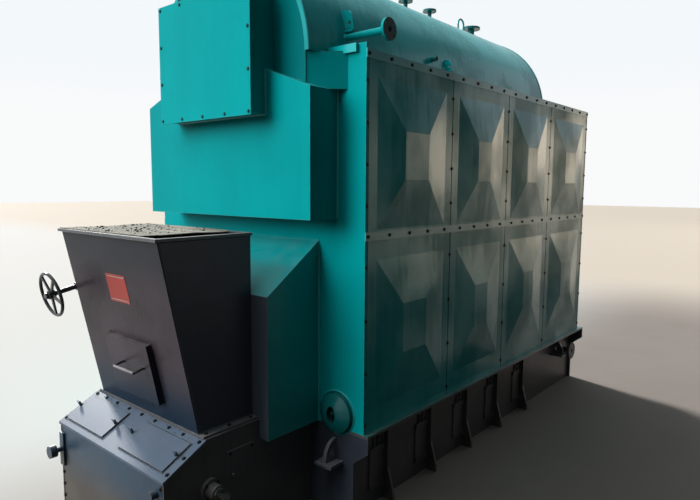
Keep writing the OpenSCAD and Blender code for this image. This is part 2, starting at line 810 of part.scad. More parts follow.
module hopper_door() color(dark_grey) on_hopper_front() {
    grip_x = door_w / 2 - door_left + grip_shift;
    grip_up = door_up + door_h - grip_drop;
    grip_r = 6;
    difference() {
        translate([-door_left, -door_gap - door_d, door_up]) cube([door_w, door_d, door_h]);
        translate([-door_left + door_t, -door_gap - door_d + door_t, door_up + door_t])
            cube([door_w - 2 * door_t, door_d, door_h - 2 * door_t]);
    }
    for (s = [right, left]) translate([grip_x + s * grip_w / 2, -door_gap - door_d + 1, grip_up])
        rotate([90, 0, 0]) cylinder(h = grip_out + 1, r = grip_r);
    translate([grip_x - grip_w / 2 - grip_r, -door_gap - door_d - grip_out, grip_up])
        rotate([0, 90, 0]) cylinder(h = grip_w + 2 * grip_r, r = grip_r);
    difference() {
        union() {
            translate([hinge_x, hinge_y, knuckle_z]) cylinder(h = knuckle_l, r = knuckle_r);
            translate([hinge_x, hinge_y - 3, knuckle_z]) cube([hinge_out + 1, 6, knuckle_l]);
        }
        translate([hinge_x, hinge_y, knuckle_z - eps])
            cylinder(h = knuckle_l + 2 * eps, r = hinge_pin_r + run_clear);
    }
}

// Two ears on the leaning plate with the pin through them
module door_hinge() color(dark_grey) on_hopper_front() {
    for (z = [knuckle_z - ear_gap - ear_t, knuckle_z + knuckle_l + ear_gap]) {
        translate([hinge_x, hinge_y, z]) cylinder(h = ear_t, r = knuckle_r);
        translate([hinge_x - knuckle_r, hinge_y, z]) cube([2 * knuckle_r, -hinge_y, ear_t]);
    }
    translate([hinge_x, hinge_y, knuckle_z - ear_gap - ear_t - 6])
        cylinder(h = knuckle_l + 2 * (ear_gap + ear_t + 6), r = hinge_pin_r);
}

// Frame of the gate wheel: z runs from the wheel's front along the spindle into the brackets
module on_spindle()
    on_hopper_front() translate([-wheel_x, -wheel_out, wheel_up]) rotate([-90, 0, 0]) children();

hub_l = 40;
hub_r = 24;
// Cast wheel: round rim, turned hub with chamfered ends and flat spokes that taper to the rim
module gate_handwheel() color(near_black) on_spindle() {
    chamfer = 4;
    spoke_root = 18;
    spoke_tip = 12;
    spoke_t = 10;
    half = hub_l / 2;
    rotate_extrude() translate([wheel_r, 0]) circle(r = wheel_rim_r);
    rotate_extrude() polygon([[spindle_r, -half], [hub_r - chamfer, -half], [hub_r, chamfer - half],
        [hub_r, half - chamfer], [hub_r - chamfer, half], [spindle_r, half]]);
    for (i = [0 : wheel_spokes - 1]) rotate([0, 0, i * 360 / wheel_spokes + 20])
        translate([0, 0, -spoke_t / 2]) linear_extrude(spoke_t)
            polygon([[hub_r - chamfer, -spoke_root / 2], [wheel_r, -spoke_tip / 2],
                [wheel_r, spoke_tip / 2], [hub_r - chamfer, spoke_root / 2]]);
}

bearing_at = 150;
bearing_l = 30;
collar_gap = 1;
module gate_spindle() color(near_black) on_spindle() {
    translate([0, 0, -hub_l / 2]) cylinder(h = hub_l / 2 + spindle_l, r = spindle_r);
    translate([0, 0, -hub_l / 2 - 14]) cylinder(h = 14, r = 18, $fn = 6);
    for (z = [bearing_at - collar_gap - 12, bearing_at + bearing_l + collar_gap])
        translate([0, 0, z]) cylinder(h = 12, r = 22);
}

// Bearing near the wheel and the closed gate gearbox, both on the hopper's left side plate
module spindle_brackets() {
    reach = wheel_x - hopper_w / 2;
    gear_l = 110;
    gear_at = spindle_l - gear_overlap;
    gear_w = 84;
    cap_r = 30;
    cap_t = 10;
    color(dark_grey) on_spindle() difference() {
        union() {
            translate([0, 0, bearing_at]) cylinder(h = bearing_l, r = 2 * spindle_r);
            translate([0, -spindle_r, bearing_at]) cube([reach, 2 * spindle_r, bearing_l]);
            translate([-gear_w / 2, -gear_w / 2, gear_at]) cube([gear_w / 2 + reach, gear_w, gear_l]);
            translate([-gear_w / 2 - cap_t, 0, gear_at + gear_l / 2]) rotate([0, 90, 0])
                cylinder(h = cap_t + eps, r = cap_r);
        }
        translate([0, 0, bearing_at - eps])
            cylinder(h = spindle_l - bearing_at + eps + 5, r = spindle_r + run_clear);
    }
}

// Boiler front
module arch_box() color(teal) across(casing_w - 2 * arch_inset)
    polygon([[-arch_d, casing_z], [0, casing_z], [0, arch_top], [-arch_d, arch_top - arch_fall]]);

// The front wall stands above the roof on both sides of the drum
module front_wall() color(teal)
    difference() {
        union() {
            translate([-casing_w / 2, 0, casing_z]) cube([casing_w, wall_t, casing_h]);
            for (s = [right, left]) on_side(s)
                translate([drum_r + 2, 0, casing_top - eps])
                    cube([casing_w / 2 - drum_r - 2, wall_t, wall_rise + eps]);
        }
        header_holes(0, wall_t);
    }

module half_disc(r) intersection() {
    translate([0, drum_z]) circle(r = r, $fn = 96);
    translate([-2 * r, cladding_foot]) square([4 * r, 2 * r]);
}

module drum_front_head() color(teal) upright(0, head_t) half_disc(drum_r - drum_t);
module drum_rear_head() color(teal) upright(drum_end - head_t, head_t) half_disc(drum_r - drum_t);

module drum_shell() color(teal) upright(-drum_hood, drum_end + drum_hood) difference() {
    half_disc(drum_r);
    translate([0, drum_z]) circle(r = drum_r - drum_t, $fn = 96);
}

module smoke_box() {
    eave = casing_top - smoke_drop;
    color(teal) upright(-smoke_d, smoke_d) difference() {
        polygon([[-smoke_w / 2, smoke_foot], [smoke_w / 2, smoke_foot],
            [smoke_w / 2, eave], [upper_w / 2, eave + smoke_rise],
            [-upper_w / 2, eave + smoke_rise], [-smoke_w / 2, eave]]);
        translate([-upper_w / 2, upper_foot]) square([upper_w, upper_h]);
    }
}

module upper_smoke_box() color(teal)
    translate([-upper_w / 2, -upper_d, upper_foot]) cube([upper_w, upper_d, upper_h]);

module smoke_box_lid() color(teal)
    translate([-upper_w / 2 - lid_rim, -upper_d - lid_t, upper_foot - lid_rim])
        cube([upper_w + 2 * lid_rim, lid_t, upper_h + 2 * lid_rim]);

// Casing: posts behind the panels' seams with rails welded between them
module casing_frame() color(teal) for (s = [right, left]) on_side(s) {
    post_y = [for (i = [0 : panel_count])
        min(max(column_y(min(i, panel_count - 1)) + (i == panel_count ? end_panel_w : 0) - frame_bar / 2,
            wall_t), casing_l - wall_t - frame_bar)];
    for (y = post_y) translate([frame_x, y, casing_z]) cube([frame_t, frame_bar, casing_h - roof_t]);
    for (i = [0 : panel_count - 1], z = [0, seam_z - frame_bar / 2, casing_h - roof_t - frame_bar])
        translate([frame_x, post_y[i] + frame_bar + weld_gap, casing_z + z])
            cube([frame_t, post_y[i + 1] - post_y[i] - frame_bar - 2 * weld_gap, frame_bar]);
    for (y = [wall_t, casing_l - post_w])
        translate([skin_x, y, casing_z]) cube([panel_t, post_w - wall_t, casing_h]);
}

// One pressed sheet: flat flange with a raised four-sided pyramid, hollow behind
module pressed_panel(w, h, foot, top) {
    ph = h - foot - top;
    pw = w - 2 * press_margin;
    module frustum(out, rise) hull() {
        translate([0, press_margin - out, foot - out]) cube([0.01, pw + 2 * out, ph + 2 * out]);
        translate([0, press_margin + press_run_w, foot + press_run_h])
            cube([rise, pw - 2 * press_run_w, ph - 2 * press_run_h]);
    }
    difference() {
        union() {
            cube([panel_t, w, h]);
            translate([panel_t - 0.01, 0, 0]) frustum(0, press_rise);
        }
        translate([-0.01, 0, 0]) frustum(-panel_t, press_rise);
    }
}

module panel_row(side, z, h, foot, top) color(teal) on_side(side)
    for (i = [0 : panel_count - 1])
        translate([skin_x, column_y(i) + panel_gap / 2, z])
            pressed_panel(column_w(i) - panel_gap, h, foot, top);

lower_top = 121;
lower_foot = 130;
lower_h = seam_z - panel_gap / 2;
upper_row_z = casing_z + seam_z + panel_gap / 2;
upper_row_h = casing_h - seam_z - panel_gap / 2;
module right_upper_panels() panel_row(right, upper_row_z, upper_row_h, press_foot, press_top);
module right_lower_panels() panel_row(right, casing_z, lower_h, lower_foot, lower_top);
module left_upper_panels() panel_row(left, upper_row_z, upper_row_h, press_foot, press_top);
module left_lower_panels() panel_row(left, casing_z, lower_h, lower_foot, lower_top);

// Flat cover strips along the seam and the sides' top edges, and the folded ledge that
// runs along the top of the front wall from the drum to the corner post
module edge_strips() color(teal)
    for (s = [right, left]) on_side(s) {
        for (z = [seam_z - strip_h / 2, casing_h - strip_h])
            translate([casing_w / 2, 0, casing_z + z]) cube([strip_t, casing_l, strip_h]);
        translate([drum_r + 2, -ledge_d, casing_top + wall_rise - ledge_h])
            cube([casing_w / 2 - drum_r - 2 - ledge_corner, ledge_d, ledge_h]);
    }

module rear_wall() color(teal)
    difference() {
        translate([-casing_w / 2, casing_l - wall_t, casing_z]) cube([casing_w, wall_t, casing_h]);
        header_holes(casing_l - wall_t, casing_l);
    }

// Roof sheets beside and behind the drum
module roof_plates() color(teal) {
    side_w = frame_x + frame_t - roof_inner;
    rear_w = 2 * (roof_inner - weld_gap);
    for (s = [right, left]) on_side(s)
        translate([roof_inner, wall_t, casing_top - roof_t]) cube([side_w, casing_l - 2 * wall_t, roof_t]);
    translate([-rear_w / 2, drum_end - 2 * head_t, casing_top - roof_t])
        cube([rear_w, casing_l - wall_t - drum_end + 2 * head_t, roof_t]);
}

// What stands on the drum, cut to the cladding's round outside
module on_cladding() difference() {
    children();
    translate([0, -drum_hood, drum_z]) rotate([-90, 0, 0])
        cylinder(h = drum_hood + drum_end, r = drum_r + weld_gap, $fn = 96);
}

// Nozzles on the crown: two small flanges, the main steam flange near the rear and a hexagon
// plug, with the socket on the right side
module steam_nozzles() color(teal) on_cladding() {
    face = drum_crown + nozzle_h;
    saddle = 4;
    for (y = [safety_front_y, safety_rear_y]) translate([0, y, face])
        flanged_stub(nozzle_h + saddle, small_pipe_r, small_bore_r, small_flange_r, small_flange_t,
            small_pcd, bolt_hole_r, 4);
    translate([0, steam_y, face])
        flanged_stub(nozzle_h + saddle, steam_pipe_r, steam_bore_r, steam_flange_r, steam_flange_t,
            steam_pcd, steam_hole_r, 4);
    translate([0, plug_y, drum_crown - saddle]) {
        cylinder(h = saddle + 14, r = 16);
        cylinder(h = saddle + 26, r = 12, $fn = 6);
    }
    translate([0, socket_y, casing_top + socket_up]) rotate([0, 90, 0]) difference() {
        cylinder(h = drum_r + 28, r = socket_r);
        translate([0, 0, drum_r]) cylinder(h = 28 + eps, r = socket_r - 5);
    }
}

// Lifting eyes on the crown and shelf lugs on both sides of the drum
module drum_lugs() color(teal) on_cladding() {
    side_lugs = [[large_lug_y, large_lug_up, large_lug_h, 48], [small_lug_y, small_lug_up, small_lug_h, 36]];
    for (y = [eye_front_y, eye_rear_y]) translate([0, y, drum_crown]) {
        for (s = [right, left])
            translate([0, s * eye_w / 2, 0]) cylinder(h = eye_h - eye_w / 2, r = eye_bar_r);
        translate([0, 0, eye_h - eye_w / 2]) rotate([90, 0, 90]) rotate_extrude(angle = 180)
            translate([eye_w / 2, 0]) circle(r = eye_bar_r);
    }
    for (s = [right, left], lug = side_lugs) on_side(s) {
        foot_x = sqrt(pow(drum_r, 2) - pow(casing_top + lug[1] - drum_z, 2));
        translate([foot_x, lug[0], casing_top + lug[1]]) rotate([0, 0, 90])
            shelf_lug(lug[2], lug[3], side_lug_t, lug[3] / 4, 5 * side_lug_t, side_lug_t - 2, lug[3]);
    }
}

// Feed water pipe out of the drum's right side to its flange
module feed_pipe() color(teal) on_cladding()
    translate([sill_x, feed_y, feed_z]) rotate([0, 90, 0])
        flanged_stub(sill_x - feed_root_x + feed_r, feed_r, feed_r - feed_wall, small_flange_r,
            small_flange_t, small_pcd, bolt_hole_r, 4);

// Dished end of a header, out of the plane z = 0, with its oval handhole, cover, stud and nut
module header_end() {
    recess = header_dish - 6;
    floor_z = header_dish - recess;
    cap_r = (pow(header_r, 2) + pow(header_dish, 2)) / (2 * header_dish);
    squeeze = handhole_w / handhole_h;
    difference() {
        intersection() {
            translate([0, 0, header_dish - cap_r]) sphere(r = cap_r, $fn = 96);
            translate([0, 0, -eps]) cylinder(h = header_dish + 2 * eps, r = header_r);
        }
        translate([0, 0, floor_z]) linear_extrude(recess + eps)
            scale([squeeze, 1]) circle(r = handhole_h / 2);
    }
    translate([0, 0, floor_z - eps]) linear_extrude(5 + eps)
        scale([squeeze, 1]) circle(r = handhole_h / 2 - 8);
    translate([0, 0, floor_z]) cylinder(h = recess - 5, r = 8);
    translate([0, 0, floor_z]) cylinder(h = 15, r = 14, $fn = 6);
}

// The two bottom headers from wall to wall, each end with its dished cap and its collar on the
// wall; the rear collars are cut flat where the deck meets the wall
module headers() color(teal)
    for (s = [right, left]) translate([s * header_x, 0, header_axis_z]) {
        translate([0, -header_out, 0]) rotate([-90, 0, 0])
            cylinder(h = casing_l + 2 * header_out, r = header_r);
        for (end = [0, 1]) translate([0, end * casing_l, 0]) mirror([0, end, 0]) rotate([90, 0, 0]) {
            translate([0, 0, header_out]) header_end();
            difference() {
                cylinder(h = collar_t, r = header_r + collar_w);
                translate([0, 0, -eps]) cylinder(h = collar_t + 2 * eps, r = header_r + seat_clear);
                if (end == 1) translate([-2 * header_r, weld_gap - header_z - header_r, -eps])
                    cube([4 * header_r, header_r, collar_t + 2 * eps]);
            }
        }
    }

in_plant() base_side_right();
in_plant() base_side_left();
in_plant() base_front_plate();
in_plant() base_rear_plate();
in_plant() sill_rails();
in_plant() ash_doors();
in_plant() tow_lugs();
in_plant() drain_pipe();
in_plant() grate_housing();
in_plant() housing_side_plates();
in_plant() housing_front_plate();
in_plant() slanted_cover();
in_plant() hatch_plates();
in_plant() shaft_bearings();
in_plant() grate_shaft();
in_plant() hopper_front();
in_plant() hopper_shell();
in_plant() hopper_rim();
in_plant() hopper_base_flange();
in_plant() hopper_cover();
in_plant() hopper_door();
in_plant() door_hinge();
in_plant() gate_handwheel();
in_plant() gate_spindle();
in_plant() spindle_brackets();
in_plant() arch_box();
in_plant() front_wall();
in_plant() drum_front_head();
in_plant() smoke_box();
in_plant() upper_smoke_box();
in_plant() smoke_box_lid();
in_plant() casing_frame();
in_plant() right_upper_panels();
in_plant() right_lower_panels();
in_plant() left_upper_panels();
in_plant() left_lower_panels();
in_plant() edge_strips();
in_plant() rear_wall();
in_plant() roof_plates();
in_plant() drum_shell();
in_plant() drum_rear_head();
in_plant() steam_nozzles();
in_plant() drum_lugs();
in_plant() feed_pipe();
in_plant() headers();
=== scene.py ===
"""Dresses the packaged chain-grate boiler: paints, fasteners, welds, cover board and studio."""

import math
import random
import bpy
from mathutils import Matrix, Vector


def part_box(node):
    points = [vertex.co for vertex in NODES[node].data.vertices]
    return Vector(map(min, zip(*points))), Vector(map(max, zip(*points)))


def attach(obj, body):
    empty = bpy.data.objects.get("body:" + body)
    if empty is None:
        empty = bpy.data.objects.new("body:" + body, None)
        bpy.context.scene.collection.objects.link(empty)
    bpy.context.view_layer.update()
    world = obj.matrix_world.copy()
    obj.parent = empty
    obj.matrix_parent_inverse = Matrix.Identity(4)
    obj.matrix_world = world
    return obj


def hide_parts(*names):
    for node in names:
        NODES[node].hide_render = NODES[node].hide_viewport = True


bl_info = {
    "name": "Packaged Boiler Dresser",
    "version": (1, 0, 0),
    "blender": (4, 5, 0),
    "location": "View3D > Sidebar > Boiler",
    "description": "Paints the boiler and adds its fasteners, welds, cover board and studio",
    "category": "Object",
}

import bmesh
import bpy
import mathutils
from mathutils import Matrix, Vector

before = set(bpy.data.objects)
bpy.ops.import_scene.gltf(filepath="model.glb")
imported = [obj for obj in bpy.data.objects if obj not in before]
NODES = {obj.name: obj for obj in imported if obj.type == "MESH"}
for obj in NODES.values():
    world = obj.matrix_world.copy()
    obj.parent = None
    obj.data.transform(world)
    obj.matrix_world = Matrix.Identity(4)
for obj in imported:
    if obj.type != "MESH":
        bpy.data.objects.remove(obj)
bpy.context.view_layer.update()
HULL_BODY = "boiler"
DOOR_BODY = "hopper_door"

X_AXIS = Vector((1.0, 0.0, 0.0))
Y_AXIS = Vector((0.0, 1.0, 0.0))
Z_AXIS = Vector((0.0, 0.0, 1.0))
SIDES = (-1.0, 1.0)

WALL_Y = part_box("front_wall")[0].y
CASING_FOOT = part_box("rear_wall")[0].z
CASING_X, CASING_REAR, CASING_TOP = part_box("rear_wall")[1]
ARCH_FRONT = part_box("arch_box")[0].y
DRUM_LOW, DRUM_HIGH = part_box("drum_shell")
DRUM_R = (DRUM_HIGH.x - DRUM_LOW.x) / 2.0
DRUM_Z = DRUM_HIGH.z - DRUM_R
HOPPER_LOW, HOPPER_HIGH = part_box("hopper_front")
HOPPER_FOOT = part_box("hopper_base_flange")[0].y
HOPPER_LEAN = math.atan2(HOPPER_FOOT - HOPPER_LOW.y, HOPPER_HIGH.z - HOPPER_LOW.z)
HOUSING_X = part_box("hopper_base_flange")[1].x + 0.011
HOUSING_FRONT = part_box("housing_front_plate")[1].y - 0.012
COVER_LOW, COVER_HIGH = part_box("slanted_cover")
BASE_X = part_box("drain_pipe")[0].x
BASE_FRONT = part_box("base_front_plate")[0].y
SILL_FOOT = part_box("base_side_right")[1].z

# Nozzles and lifting eyes on the drum's crown: place along Y and radius of the foot
CROWN_PIPES = ((0.503, 0.017), (0.851, 0.017), (1.117, 0.016), (1.558, 0.030))
CROWN_EYES = ((-0.787, 0.008), (-0.691, 0.008), (1.323, 0.008), (1.419, 0.008))
# Pipes on the drum's right side: place along Y, height and radius
SIDE_FEET = ((-0.969, 2.615, 0.019), (-0.129, 2.641, 0.0175))
# Lugs on both sides of the drum: place along Y, height of the foot and of the lug
LUG_FEET = ((-0.954, 2.652, 0.112), (0.066, 2.596, 0.072))
LUG_T = 0.012
# Headers through the front and the rear wall: distance from the middle, height and collar
HEADER_X = 0.735
HEADER_Z = 0.582
COLLAR_R = 0.1215
# Half width and half height of the oval handhole in a header's end
HANDHOLE = (0.030, 0.0485)
# Ribs on the base's sides: places along Y and thickness
RIBS_Y = tuple(-0.813 + 0.462 * i for i in range(5))
RIB_T = 0.016
# Pulling lugs: inset of the front ones, place of the rear ones, thickness, foot and top
TOW_LUG_INSET = 0.106
TOW_LUG_REAR_Y = 1.761
TOW_LUG_T = 0.020
TOW_LUG_Z = (0.315, 0.437)
# On the hopper's leaning plate: the handle's legs, their height, the door's face, the gate's spindle
HANDLE_LEGS = (-0.0425, 0.1505)
HANDLE_UP = 0.298
DOOR_OUT = 0.030
SPINDLE_UP = 0.635
# How far trims are sunk into what they lie on
SUNK = 0.0005


def size(name, default, low, high, words):
    """A length in metres that the panel shows."""
    return bpy.props.FloatProperty(
        name=name, description=words, default=default, min=low, max=high, unit="LENGTH", precision=4
    )


def paint(name, default, words):
    """A colour that the panel shows."""
    return bpy.props.FloatVectorProperty(
        name=name, description=words, default=default, size=3, min=0.0, max=1.0, subtype="COLOR"
    )


def angle(name, degrees, words):
    """An angle that the panel shows."""
    return bpy.props.FloatProperty(
        name=name, description=words, default=math.radians(degrees), subtype="ANGLE"
    )


class BoilerPaint(bpy.types.PropertyGroup):
    """Colours of the finishes."""

    teal: paint("Casing teal", (0.0005, 0.300, 0.308), "Gloss paint on the casing, boxes and drum")
    grey: paint("Hopper grey", (0.052, 0.039, 0.047), "Semi-gloss paint on the hopper")
    black: paint("Base black", (0.084, 0.080, 0.084), "Semi-gloss paint on the base and the housing")
    blue_grey: paint("Plate grey", (0.036, 0.045, 0.062), "Paint on the base's front plate")
    housing: paint("Housing grey", (0.018, 0.044, 0.074), "Paint on the housing's front plate")
    cover: paint("Cover grey", (0.066, 0.094, 0.135), "Satin paint on the slanted cover")
    steel: paint("Bare steel", (0.420, 0.420, 0.410), "Turned shaft ends")
    plate: paint("Plate red", (0.380, 0.036, 0.026), "Blank plate on the hopper")
    sheet: paint("Cover board", (0.150, 0.132, 0.102), "Dusty board over the hopper's mouth")


class BoilerFasteners(bpy.types.PropertyGroup):
    """Sizes of the bolts and welds."""

    bolt_across: size("Bolt width", 0.014, 0.01, 0.04, "Width across the flats of a casing bolt")
    bolt_height: size("Bolt height", 0.007, 0.004, 0.02, "Height of a casing bolt's head")
    weld: size("Weld leg", 0.006, 0.002, 0.012, "Leg length of a fillet weld")


class BoilerStage(bpy.types.PropertyGroup):
    """The camera's place, angles and lens."""

    camera_place: bpy.props.FloatVectorProperty(
        name="Camera place",
        description="Where the camera stands",
        default=(2.7906, -3.4339, 1.817),
        size=3,
        subtype="TRANSLATION",
        unit="LENGTH",
    )
    heading: angle("Heading", 40.42, "Angle to the left of the drum's direction")
    pitch: angle("Pitch", 6.21, "Angle below the horizon")
    roll: angle("Roll", -0.338, "Turn about the view's axis")
    lens: bpy.props.FloatProperty(
        name="Lens", description="Focal length in millimetres on a 36 mm sensor", default=30.0, min=10.0
    )


def paints():
    """The colours in use."""
    return bpy.context.scene.boiler_paint


def fasteners():
    """The fastener sizes in use."""
    return bpy.context.scene.boiler_fasteners


# Shader graphs


class Graph:
    """A node tree, with short ways to add to it."""

    def __init__(self, tree):
        self.tree = tree

    def feed(self, target, value):
        """Links a socket to an input, or writes a value on it."""
        if isinstance(value, bpy.types.NodeSocket):
            self.tree.links.new(value, target)
        else:
            target.default_value = value

    def node(self, kind, inputs=None):
        """Adds a node; inputs tells its sockets or values by name or by number."""
        node = self.tree.nodes.new("ShaderNode" + kind)
        for key, value in (inputs or {}).items():
            self.feed(node.inputs[key], value)
        return node

    def maths(self, operation, first, second=None, clamp=False):
        """A Math node fed by sockets or numbers."""
        node = self.node("Math", {0: first} if second is None else {0: first, 1: second})
        node.operation = operation
        node.use_clamp = clamp
        return node.outputs[0]

    def plus(self, first, second, clamp=False):
        """Sum of two values."""
        return self.maths("ADD", first, second, clamp)

    def minus(self, first, second):
        """Difference of two values."""
        return self.maths("SUBTRACT", first, second)

    def times(self, first, second, clamp=False):
        """Product of two values."""
        return self.maths("MULTIPLY", first, second, clamp)

    def ramp(self, value, low, high):
        """Maps low..high to 0..1, softly."""
        node = self.node("MapRange", {"Value": value, "From Min": low, "From Max": high})
        node.interpolation_type = "SMOOTHSTEP"
        return node.outputs["Result"]

    def noise(self, place, scale, detail, roughness):
        """A noise value at that many bumps to the metre."""
        inputs = {"Vector": place, "Scale": scale, "Detail": detail, "Roughness": roughness}
        return self.node("TexNoise", inputs).outputs["Fac"]

    def stretched(self, place, scale):
        """Coordinates scaled along each axis."""
        return self.node("Mapping", {"Vector": place, "Scale": scale}).outputs["Vector"]

    def axes(self, place):
        """The three parts of a vector."""
        return self.node("SeparateXYZ", {0: place}).outputs

    def zone(self, place, axis, empty, full):
        """Mask that grows along one axis from the first place to the second."""
        return self.ramp(self.axes(place)[axis], empty, full)

    def handholes(self, place):
        """Mask of the oval handholes in the headers' ends."""
        parts = self.axes(place)
        from_axis = self.minus(self.maths("ABSOLUTE", parts["X"]), HEADER_X)
        across = self.maths("DIVIDE", from_axis, HANDHOLE[0])
        along = self.maths("DIVIDE", self.minus(parts["Z"], HEADER_Z), HANDHOLE[1])
        reach = self.plus(self.times(across, across), self.times(along, along))
        return self.ramp(reach, 1.04, 0.96)

    def blended(self, mask, first, second):
        """Mixes two colours by a mask; each is a socket or a colour."""
        node = self.node("Mix")
        node.data_type = "RGBA"
        self.feed(node.inputs["Factor"], mask)
        targets = [i for i in node.inputs if i.type == "RGBA"]
        for target, value in zip(targets, (first, second)):
            self.feed(target, value if isinstance(value, bpy.types.NodeSocket) else (*value, 1.0))
        return [o for o in node.outputs if o.type == "RGBA"][0]

    def fade(self, value, low, high, first, second):
        """Goes from one colour to another while a value goes from low to high."""
        return self.blended(self.ramp(value, low, high), first, second)

    def bump(self, height, depth, strength=1.0):
        """Normal bent by a height that is depth metres at full."""
        inputs = {"Height": height, "Distance": depth, "Strength": strength}
        return self.node("Bump", inputs).outputs["Normal"]

    def seen_ray(self):
        """Mask of the rays by which the camera, metal and glass see the backdrop and the floor."""
        rays = self.node("LightPath").outputs
        seen = self.plus(rays["Is Camera Ray"], rays["Is Glossy Ray"], True)
        return self.plus(seen, rays["Is Transmission Ray"], True)


def new_group(name, given, made):
    """A shader group: its graph, its inputs (given, with defaults) and its outputs (made)."""
    group = bpy.data.node_groups.new(name, "ShaderNodeTree")
    for key in ["Vector", *given]:
        kind = "NodeSocketVector" if key == "Vector" else "NodeSocketFloat"
        socket = group.interface.new_socket(name=key, in_out="INPUT", socket_type=kind)
        if key in given:
            socket.default_value = given[key]
    for key in made:
        group.interface.new_socket(name=key, in_out="OUTPUT", socket_type="NodeSocketFloat")
    inputs, outputs = group.nodes.new("NodeGroupInput"), group.nodes.new("NodeGroupOutput")
    return Graph(group), inputs.outputs, outputs.inputs


def edge_wear_and_highlight():
    """Mask of rubbed edges, which also paints a highlight along them: where the rounded normal leaves the
    flat one, broken up by noise.
    """
    g, given, made = new_group("edge_wear_and_highlight", {"Width": 0.006, "Amount": 0.5}, ["Mask"])
    bevel = g.node("Bevel", {"Radius": given["Width"]})
    bevel.samples = 4
    dot = g.node("VectorMath", {0: bevel.outputs["Normal"], 1: g.node("NewGeometry").outputs["Normal"]})
    dot.operation = "DOT_PRODUCT"
    edge = g.ramp(g.minus(1.0, dot.outputs["Value"]), 0.02, 0.22)
    broken = g.ramp(g.noise(given["Vector"], 22.0, 5.0, 0.65), 0.36, 0.62)
    g.feed(made["Mask"], g.times(g.times(edge, broken), given["Amount"], True))
    return g.tree


def settled_dust():
    """Mask of dust: on what faces up, and in patches on the rest."""
    amounts = {"On top": 0.4, "On walls": 0.05, "Near ground": 0.2}
    g, given, made = new_group("settled_dust", amounts, ["Mask"])
    facing = g.axes(g.node("NewGeometry").outputs["Normal"])["Z"]
    patches = g.ramp(g.noise(given["Vector"], 5.0, 6.0, 0.62), 0.32, 0.72)
    grain = g.plus(g.times(g.noise(given["Vector"], 60.0, 4.0, 0.7), 0.5), 0.55)
    top = g.times(g.ramp(facing, 0.25, 0.95), given["On top"])
    low = g.times(g.zone(given["Vector"], "Z", 0.55, 0.0), given["Near ground"])
    total = g.plus(g.plus(top, low), given["On walls"])
    g.feed(made["Mask"], g.times(g.times(total, patches), grain, True))
    return g.tree


def brushwork():
    """Uneven gloss of hand-painted plate: tone, roughness and a height of runs and waves."""
    values = {"Roughness": 0.3, "Spread": 0.08}
    g, given, made = new_group("brushwork", values, ["Tone", "Roughness", "Height"])
    place = given["Vector"]
    runs = g.noise(g.stretched(place, (26.0, 26.0, 1.6)), 1.0, 4.0, 0.6)
    clouds = g.noise(place, 2.2, 3.0, 0.5)
    waves = g.noise(g.stretched(place, (3.1, 3.1, 2.0)), 1.0, 1.0, 0.4)
    peel = g.noise(place, 240.0, 2.0, 0.5)
    tone = g.plus(g.times(runs, 0.25), g.times(clouds, 0.75))
    rough = g.times(g.minus(tone, 0.5), given["Spread"])
    height = g.plus(waves, g.times(peel, 0.012))
    g.feed(made["Tone"], tone)
    g.feed(made["Roughness"], g.plus(g.times(rough, 2.0), given["Roughness"], True))
    g.feed(made["Height"], g.plus(height, g.times(runs, 0.02)))
    return g.tree


GROUPS = {}


def group_outputs(g, maker, inputs):
    """Places a shared group in a material with its own values."""
    if maker not in GROUPS:
        GROUPS[maker] = maker()
    node = g.node("Group")
    node.node_tree = GROUPS[maker]
    for key, value in inputs.items():
        g.feed(node.inputs[key], value)
    return node.outputs


def new_material(name):
    """A material: its graph, the inputs of its Principled shader and its object coordinates."""
    material = bpy.data.materials.new(name)
    material.use_nodes = True
    g = Graph(material.node_tree)
    return material, g, g.tree.nodes["Principled BSDF"].inputs, g.node("TexCoord").outputs["Object"]


DUST = (0.300, 0.270, 0.225)
SOOT = (0.010, 0.010, 0.010)
# Lighter colours of the rubbed edges, which also paint a highlight along them
BRIGHT_TEAL = (0.100, 0.560, 0.530)
PALE_TEAL = (0.260, 0.620, 0.580)
RUBBED_AND_HIGHLIGHT_GREY = (0.200, 0.200, 0.205)
RUBBED_AND_HIGHLIGHT_RIM = (0.350, 0.340, 0.320)
RUBBED_AND_HIGHLIGHT_LUG = (0.420, 0.440, 0.460)
RUBBED_AND_HIGHLIGHT_WHEEL = (0.300, 0.290, 0.280)
SLATE = (0.040, 0.047, 0.068)
RIM_GREY = (0.070, 0.076, 0.082)
LUG_GREY = (0.085, 0.092, 0.110)
WHEEL_BLACK = (0.012, 0.013, 0.014)
ASH = (0.060, 0.060, 0.060)
HOUSING_FOOT_BROWN = (0.052, 0.044, 0.036)
RUST = (0.020, 0.018, 0.016)
COAT_ROUGHNESS = 0.14
# Unevenness of the gloss: of most paints and of those that were brushed on worst
SPREAD = 0.10
SPREADS = {"teal_panel": 0.28, "teal_drum": 0.25, "hopper_grey": 0.20}


def shade(colour, share):
    """A colour made lighter or darker."""
    return tuple(min(1.0, c * share) for c in colour)


